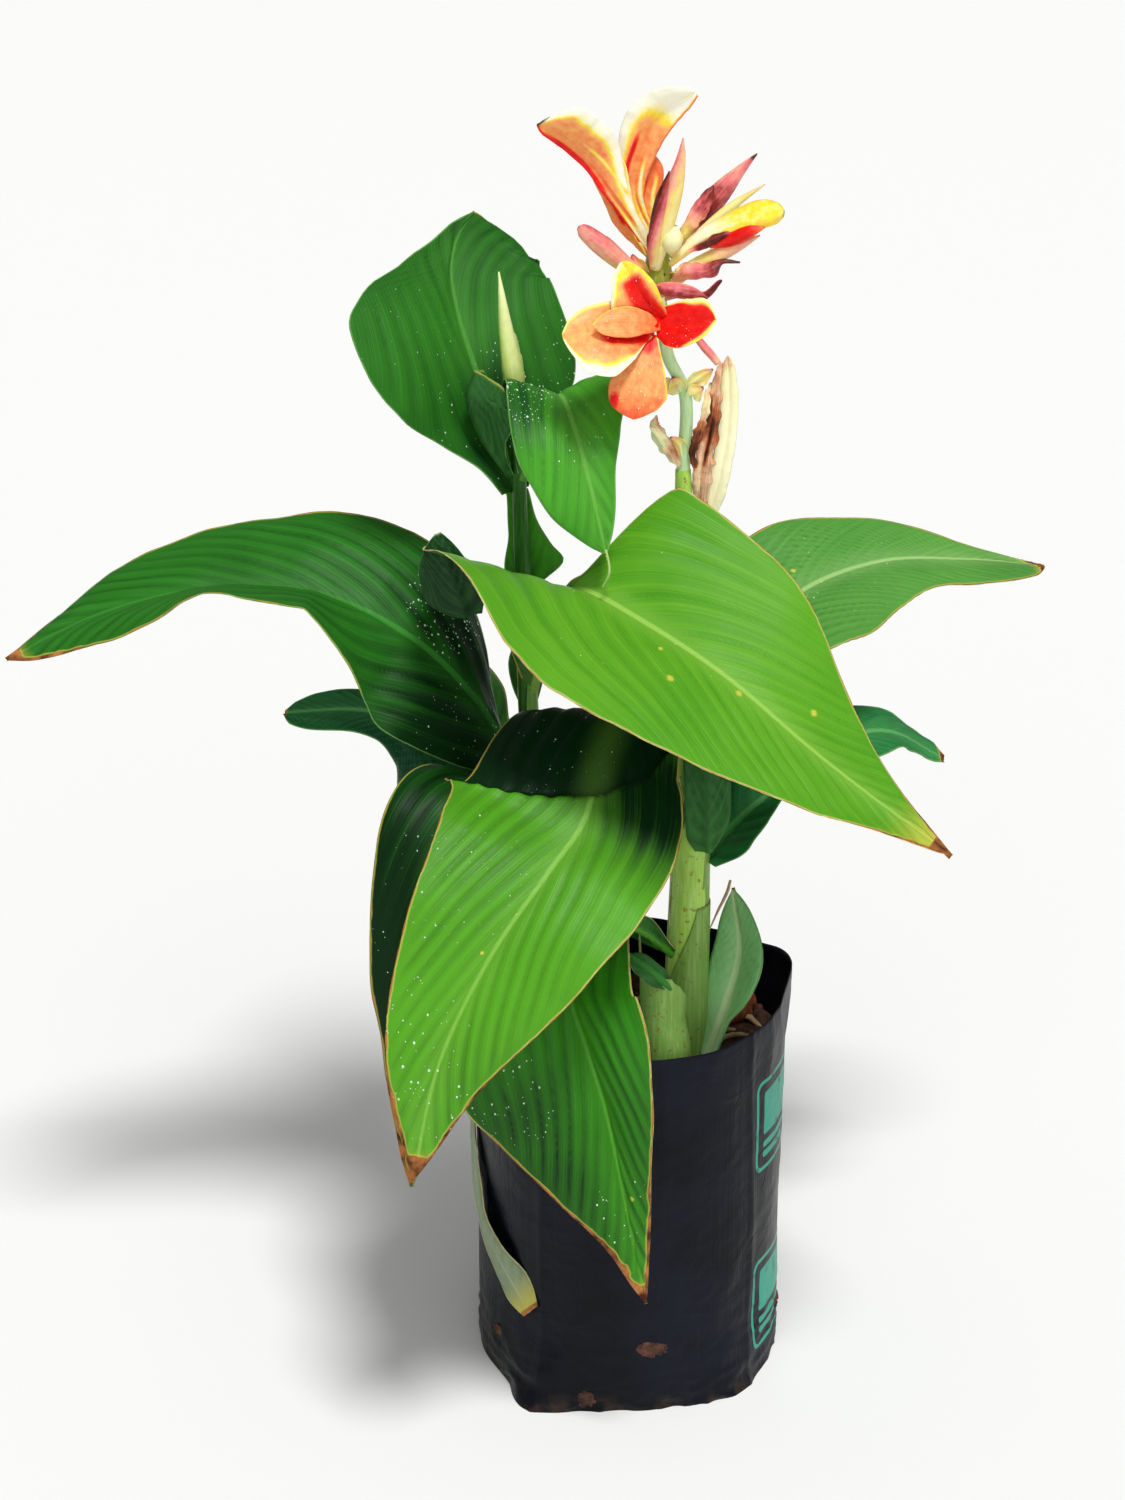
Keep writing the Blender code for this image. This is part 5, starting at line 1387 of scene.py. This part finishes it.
spindles = {
    "bloomThroat": (petalSkin, dict(
        path=[(14, -11.5, 690, 2.8), (11, -24, 689, 4.0), (9, -33, 687.5, 4.4), (8.4, -38, 686.5, 3.2),
              (8.2, -40, 686, 0.8)],
        tones=(0.2, 0.45, 0.85, 0.97), slot="petal", nodes=("bloom_throat",))),
    "budTall": (bractSkin, dict(
        path=[(*beside("hub", 712, -105, 0), 3.0), (15, -13, 738, 5.6), (20.5, -17, 762, 5.0), (24, -20, 780, 2.4),
              (25, -20, 790, 0.4)],
        tones=(0.12, 0.16, 0.24, 0.40, 0.52), shade=-0.14, toward=0, lap=0.3, nodes=("bud_tall",), seed=1)),
    "budTallBract": (bractSkin, dict(
        path=[(9, -13, 714, 1.8), (9.5, -18, 733, 3.8), (13, -21, 755, 3.4), (17.5, -22, 772, 0.4)],
        tones=(0.25, 0.62, 0.90, 0.98), shade=-0.30, toward=-20, lap=0.3, folds=2, seed=2)),
    "budBackRight": (bractSkin, dict(
        path=[(*beside("hub", 716, 20, 0), 1.6), (32, 4, 733, 5.0), (46, 8, 750, 6.2), (58, 11, 763, 3.2),
              (68, 12, 773, 0.4)],
        tones=(0.12, 0.30, 0.84, 0.66, 0.44, 0.6), shade=0.12, toward=-60, dryTip=4, nodes=("bud_back_right",),
        seed=3)),
    "budBackRightTorn": (bractSkin, dict(
        path=[(24, -2, 726, 1.6), (32, -2, 739, 4.2), (40, -1, 752, 3.4), (43, 0, 758, 0.4)],
        tones=(0.12, 0.35, 0.72, 0.9), crumple=0.5, folds=2, seed=4)),
    "budHalfOpen": (petalSkin, dict(
        path=[(*beside("hub", 713, -30, 0), 1.6), (35, -10, 729, 4.0), (52, -14, 738, 6.4), (68, -17, 745, 7.8),
              (78, -19, 747, 6.0), (82, -20, 747, 2.0)],
        tones=(0.16, 0.10, 0.06, 0.24, 0.28, 0.28), shade=0.03, toward=-90, lap=0.4, folds=3, twist=0.2,
        slot="petal", nodes=("bud_half_open",), seed=5)),
    "budHalfOpenRed": (petalSkin, dict(
        path=[(41, -17, 727, 1.0), (52, -20, 732, 3.6), (63, -23, 738, 3.8), (71, -24, 740.5, 0.8)],
        tones=(0.75, 0.96, 0.96, 0.6), folds=2, slot="petal", seed=14)),
    "budHalfOpenBrown": (bractSkin, dict(
        path=[(28, -15, 723, 0.8), (38, -19, 729, 2.2), (48, -21, 735, 2.0), (53, -21, 736, 0.5)],
        tones=(0.2, 0.9, 0.96, 0.8), folds=2, crumple=0.4, seed=15)),
    "budPaleThin": (bractSkin, dict(
        path=[(28, -4, 726, 0.8), (48, -3, 742, 2.8), (60, -2, 751, 1.8), (72, -2, 759, 0.3)],
        tones=(0.1, 0.12, 0.14, 0.36), folds=2, seed=16)),
    "budHalfOpenLower": (bractSkin, dict(
        path=[(22, -10, 711, 1.2), (38, -14, 718, 4.0), (55, -17, 727, 3.8), (69, -18, 734, 0.4)],
        tones=(0.12, 0.18, 0.42, 0.46), folds=2, seed=6)),
    "budWithered": (bractSkin, dict(
        path=[(*beside("hub", 703, -20, 0), 1.4), (29, -14, 712, 4.4), (40, -18, 714, 5.0), (48, -19, 719, 1.6),
              (58, -20, 719, 0.5)],
        tones=(0.3, 0.42, 0.62, 0.9, 1.0), crumple=0.7, folds=2, dryTip=8, slot="dry_bract",
        nodes=("bud_withered",), seed=7)),
    "budLeft": (bractSkin, dict(
        path=[(*beside("hub", 708, 200, 0), 1.6), (-6, -13, 715, 4.6), (-19, -17, 727, 5.8), (-30, -20, 737, 4.2),
              (-33.5, -20, 739, 1.0)],
        tones=(0.3, 0.40, 0.52, 0.60, 0.62), shade=-0.16, toward=225, nodes=("bud_left",), seed=8)),
    "budSmallRight": (bractSkin, dict(
        path=[(*beside("stalk", 694, -30, 0), 1.2), (25, -18, 701, 3.2), (38, -20, 699.5, 2.4), (46, -20, 707, 1.4),
              (48, -20, 708.5, 0.5)],
        tones=(0.5, 0.62, 0.60, 0.72, 0.74), shade=0.2, toward=-90, folds=2, nodes=("bud_small_right",), seed=9)),
    "budUpperSmall": (bractSkin, dict(
        path=[(9, -16, 703, 1.2), (17, -24, 704.5, 4.2), (30, -26, 703, 3.8), (40, -25, 699.5, 0.5)],
        tones=(0.60, 0.52, 0.52, 0.62), shade=0.25, toward=-90, folds=2, seed=10)),
    "stalkPink": (bractSkin, dict(
        path=[(*beside("stalk", 668, 0, 0), 1.0), (32, -8, 672, 1.8), (40, -11, 665, 2.4), (47, -12, 657, 2.0)],
        tones=(0.60, 0.66, 0.60, 0.4), folds=1, lap=0.05, nodes=("stalk_pink",), seed=11)),
    "budDryLow": (witheredSkin, dict(
        path=[(*beside("stalk", 594, -120, 0), 1.6), (22, -9, 600, 3.2), (15.5, -13, 611, 4.2), (11.5, -14, 620, 3.0),
              (12, -13, 626, 0.5)],
        tones=(0.35, 0.42, 0.10, 0.5), shade=-0.25, toward=180, crumple=0.5, folds=2, slot="dry_bract",
        nodes=("bud_dry_low",), seed=12)),
    "paleBall": (bractSkin, dict(
        path=[(18, -13, 722, 0.8), (19, -14, 727, 5.2), (20.5, -15, 733, 5.4), (21.5, -15, 739, 0.8)],
        tones=(0.0, 0.02, 0.0), folds=1, lap=0.0, rows=20, seed=13)),
}
for spindleName, (made, sizes) in spindles.items():
    makeSpindle(spindleName, made, **sizes)

# the withered bract stands beside the stalk with crumpled dead petals along its left edge
withered = {
    "witheredBract": petalShape(
        ("withered_bract",), [(42, -2, 556), (47.5, -1, 575), (52.5, -1, 602), (54.5, -1, 630), (53, -2, 658)],
        (90,),
        ((0, 4), (0.2, 7.2), (0.7, 6.8), (0.92, 5), (1, 1)), ((0, 4), (0.2, 6.5), (0.7, 5.8), (0.92, 4.5), (1, 1)),
        bow=45, tone=(0.10, 0.05, 0.0, 0.0, 0.03, 0.10, 0.45), rimLeft=((1.0, 1.4), 0.40), rimRight=((0.4,), 0.12),
        seed=31),
    "witheredPetalA": petalShape(
        (), [(49, -4, 655), (46, -7, 640), (43.5, -8, 620), (39.5, -9, 598), (37.5, -6, 566)], (-90,),
        ((0, 2), (0.2, 4.5), (0.5, 7.5), (0.8, 7), (1, 4)), ((0, 2), (0.3, 4.5), (0.55, 6), (0.8, 5.5), (1, 3)),
        bow=60, ripple=2.2, rippleLength=0.9, buckle=1.6, tone=(0.45, 0.5, 0.74, 0.52, 0.44, 0.52), seed=32,
        strokes=((0.2, 0.45, 2.4, 1.3, 0.95), (0.35, 0.7, -1.6, 1.2, 0.97), (0.5, 0.95, 2.0, 1.2, 0.36))),
    "witheredPetalB": petalShape(
        (), [(43, -5, 643), (41, -9, 632), (37, -11, 616), (33, -11, 602), (36, -8, 588)], (-90,),
        ((0, 1), (0.3, 4), (0.6, 3.6), (1, 1)), ((0, 1), (0.3, 3), (0.6, 3.4), (1, 1)),
        bow=70, ripple=1.8, rippleLength=0.8, buckle=1.4, tone=(0.36, 0.30, 0.7, 0.95, 0.5), seed=33),
}
for name, sheet in withered.items():
    makeLeaf(name, sheet, "dry_bract", (witheredSkin,))

# small pale bracts hold each joint of the stalk
jointBracts = {
    "jointBractLeft": [beside("stalk", 642, 180, -2), (22, -11, 644), (14, -13, 640)],
    "jointBractFront": [beside("stalk", 638, -80, -2), (24, -13, 643), (21, -15, 650)],
    "jointBractRight": [beside("stalk", 640, 0, -2), (34, -9, 645), (44, -10, 653)],
    "jointBractLow": [beside("stalk", 637, -40, -2), (32, -12, 638), (39, -12, 642)],
    "hubBractLeft": [beside("hub", 706, 200, -1), (1, -8, 712), (-3, -9, 720)],
    "hubBractRight": [beside("hub", 704, -10, -1), (24, -8, 708), (31, -10, 707)],
    "lowJointBract": [beside("stalk", 597, -90, -1), (25, -10, 607), (20, -11, 612)],
    "lowJointBractRight": [beside("stalk", 596, 0, -1), (31, -6, 604), (34, -7, 611)],
}
for index, (name, rib) in enumerate(jointBracts.items()):
    makeLeaf(name, petalShape((), rib, (-90,), ((0, 3), (0.5, 6.4), (1, 0.5)), ((0, 3), (0.5, 6), (1, 0.5)), bow=50,
                              tone=(0.0, 0.12, 0.45) if "hub" not in name else (0.1, 0.2, 0.6), ripple=1.2,
                              rippleLength=0.8, step=0.8, seed=40 + index, tip=0.8), "bud_skin", (bractSkin,))

# a young leaf, still rolled into a pale spike, stands in the crown
youngRoll = bloomSkin("rolledYoungLeaf",
                      ((0.0, "#EEF4B4"), (0.4, "#BFD470"), (0.7, "#86AE48"), (1.0, "#3F7A38")), 0.42, 0.25)
makeSpindle("leafRoll", youngRoll,
            [(-68, 8, 601, 3.2), (-70, 9, 630, 5.5), (-71.5, 9.5, 650, 5.8), (-75, 11, 675, 3.8),
             (-78.5, 12, 704, 0.4)],
            (1.0, 0.75, 0.5, 0.35, 0.15), shade=-0.22, toward=-60, folds=1, lap=0.35, twist=0.35,
            nodes=("leaf_roll",), seed=18)
print("flowers ready")


# the rhizome and a few roots on the soil, and small dry threads

rhizomeSkin = stemMaterial("barkyRhizome", "#5E2C1E", "#9A5136", "#B97A56", roughness=0.7, stretch=0.5,
                           fleck="#3A1A12")
rootSkin = stemMaterial("paleRoot", "#A8835E", "#D2B48E", "#E0C9A4", roughness=0.7, stretch=0.5)
threadSkin = stemMaterial("dryThread", "#B98A6E", "#DDB89A", "#EAD0B4", roughness=0.6)
curlSkin = stemMaterial("leafTipThread", "#8DB85A", "#C4DC92", "#DCE8B0", roughness=0.5)
# each one's routes, skin, places along it and round it, slot and node, and the size of its relief
groundPieces = {
    "rhizome": (
        [[(49, 18, 218, 5), (56, 25, 221, 9), (66, 33, 221, 9.5), (77, 40, 219, 6)],
         [(60, 20, 216, 5), (68, 24, 219, 7), (76, 28, 216, 4)],
         [(70, 44, 217, 5), (64, 48, 219, 6.5), (56, 50, 216, 4)]],
        rhizomeSkin, 24, 20, ("rhizome_bark", "rhizome"),
        {"Ridge Height": 1.0 * mm, "Lumps": 6 * mm, "Lump Size": 12 * mm}),
    "surfaceRoots": (
        [[(38, -4, 212, 1.4), (46, 2, 216, 2.0), (56, 8, 215, 2.2), (66, 13, 211, 1.2)],
         [(52, -14, 211, 1.0), (58, -4, 215, 1.6), (70, 2, 214, 1.4), (80, 3, 210, 0.8)],
         [(60, 22, 213, 1.2), (74, 20, 217, 1.8), (84, 14, 211, 1.0)],
         [(40, 30, 212, 1.4), (30, 42, 217, 2.2), (14, 50, 216, 2.0), (2, 52, 211, 1.2)],
         [(-30, 40, 211, 1.2), (-44, 46, 216, 1.8), (-58, 40, 211, 1.0)]],
        rootSkin, 24, 12, ("rhizome_bark",), {"Ridge Height": 0.6 * mm, "Lumps": 2 * mm, "Lump Size": 5 * mm}),
    "dryThread": (
        [[(60, -16, 330, 0.9), (57.5, -22, 324, 1.1), (52, -30, 316, 0.8), (47, -38, 308, 0.4)]],
        threadSkin, 24, 10, ("leaf_blade",), {}),
    "leafTipThread": (
        [[(-17.5, -59, 561, 0.9), (-15.5, -61, 553, 0.8), (-15.5, -62, 547, 0.8), (-19, -61, 539, 0.5)]],
        curlSkin, 24, 10, ("leaf_blade",), {}),
}
for pieceName, (routes, made, count, sides, held, sizes) in groundPieces.items():
    place(makeStem(pieceName, routes, made, count, sides, sizes), *held)


# water stands on the leaves in small beads

def dropTree():
    # scatters flattened beads over a surface, a few of them large
    tree, add, given = startTree("waterDrops", {"Per Square Metre": 20000.0, "Smallest": 0.0005, "Largest": 0.0015,
                                                "Seed": 0})
    spots = add("GeometryNodeDistributePointsOnFaces", {
        "Mesh": given["Geometry"], "Density": given["Per Square Metre"], "Seed": given["Seed"]})
    bead = add("GeometryNodeMeshIcoSphere", {"Radius": 1.0, "Subdivisions": 2})
    flat = add("GeometryNodeTransform", {"Geometry": bead, "Scale": (1.0, 1.25, 0.55)})
    share = add("FunctionNodeRandomValue", {2: 0.0, 3: 1.0, "Seed": given["Seed"]}, data_type="FLOAT")
    few = add("ShaderNodeMath", (share, 3.0), operation="POWER")
    size = add("ShaderNodeMapRange", {"Value": few, "To Min": given["Smallest"], "To Max": given["Largest"]})
    many = add("GeometryNodeInstanceOnPoints", {
        "Points": spots, "Instance": flat, "Rotation": spots.outputs["Rotation"], "Scale": size})
    return endTree(tree, many, given)


def waterSkin():
    # a bead of clean water, drawn as an opaque bead that mirrors the light; its colour is painted: pale green for the
    # leaf seen through it, and near white for a painted glint
    made, add, shader = startMaterial("cleanWaterBead", IOR=1.33, Roughness=0.06, Specular_IOR_Level=0.8)
    where = add("ShaderNodeTexCoord").outputs["Object"]
    spots = add("ShaderNodeTexNoise", {"Vector": where, "Scale": 500.0})
    feed(shader, Base_Color=add("ShaderNodeMix", (spots, linear("#8FC08A"), linear("#F2FAF4")), data_type="RGBA"))
    return made


# where the beads stand: leaf, t along it, place across it, radius of the patch, beads per square metre, largest bead
wetPlaces = (
    ("leafCrownBack", 0.30, 0.62, 45, 16000, 0.65), ("leafCrownBack", 0.28, 0.45, 16, 90000, 0.7),
    ("leafCrownBack", 0.22, -0.35, 34, 12000, 0.5), ("leafCrownBack", 0.5, -0.5, 40, 4000, 0.45),
    ("leafCrownFront", 0.42, 0.75, 22, 70000, 0.75), ("leafCrownFront", 0.55, 0.3, 30, 14000, 0.5),
    ("leafFrontLeft", 0.60, 0.65, 40, 9000, 0.6), ("leafFrontLeft", 0.80, 0.6, 34, 16000, 0.85),
    ("leafFrontLeft", 0.88, -0.2, 26, 12000, 0.75), ("leafFrontLeft", 0.32, 0.3, 40, 10000, 0.45),
    ("leafFarLeft", 0.30, 0.55, 30, 60000, 0.7), ("leafFarLeft", 0.16, -0.4, 34, 14000, 0.55),
    ("leafFrontLow", 0.55, 0.7, 30, 14000, 0.8), ("leafFrontLow", 0.8, -0.2, 26, 9000, 0.7),
    ("leafFrontRight", 0.45, 0.1, 70, 1500, 0.45), ("leafFarRight", 0.5, 0.0, 50, 2500, 0.5),
    ("leafLeftLow", 0.5, 0.0, 60, 4000, 0.5), ("leafBack", 0.5, 0.0, 60, 3000, 0.6),
    ("leafBackLeft", 0.5, 0.0, 60, 3000, 0.6),
    ("petalLeft", 0.6, -0.2, 16, 60000, 0.38), ("petalLeftInner", 0.6, 0.2, 10, 90000, 0.38),
    ("petalLip", 0.6, 0.0, 16, 60000, 0.41), ("petalTop", 0.5, 0.0, 12, 50000, 0.34),
    ("petalRight", 0.5, 0.0, 16, 40000, 0.38),
)


def sprinkle(leafName, at, across, radius, dense, largest, skin, tree, seed):
    # the part of a leaf's upper face round one place, as a mesh of its own for the beads
    sheet = bladeGrid(leaves[leafName] if leafName in leaves else petals[leafName])
    row = int(at * (len(sheet["far"]) - 1))
    column = int(np.abs(sheet["span"][row] - across).argmin())
    middle = Vector((sheet["grid"][row, column] * mm).tolist())
    source = bpy.data.objects[leafName].data
    chosen = [face for face in source.polygons
              if face.material_index == 0 and (face.center - middle).length < radius * mm]
    points, faces = [], []
    for face in chosen:
        faces.append(tuple(range(len(points), len(points) + len(face.vertices))))
        points += [tuple(source.vertices[i].co) for i in face.vertices]
    if not faces:
        return []
    obj = newMesh("beads", points, faces)
    runTree(obj, tree, {"Per Square Metre": float(dense), "Smallest": largest * 0.3 * mm, "Largest": largest * mm,
                        "Seed": seed, "Material": skin})
    return [settle(obj)]


def makeWater():
    skin, tree = waterSkin(), dropTree()
    pieces = []
    for seed, wet in enumerate(wetPlaces):
        pieces += sprinkle(*wet, skin, tree, seed + 1)
    work = bmesh.new()
    for piece in pieces:
        work.from_mesh(piece.data)
        bpy.data.objects.remove(piece)
    mesh = bpy.data.meshes.new("waterBeads")
    work.to_mesh(mesh)
    work.free()
    mesh.materials.append(skin)
    place(newObject("waterBeads", mesh), "leaf_blade")


makeWater()
print("small things ready")


print("canna lily ready")
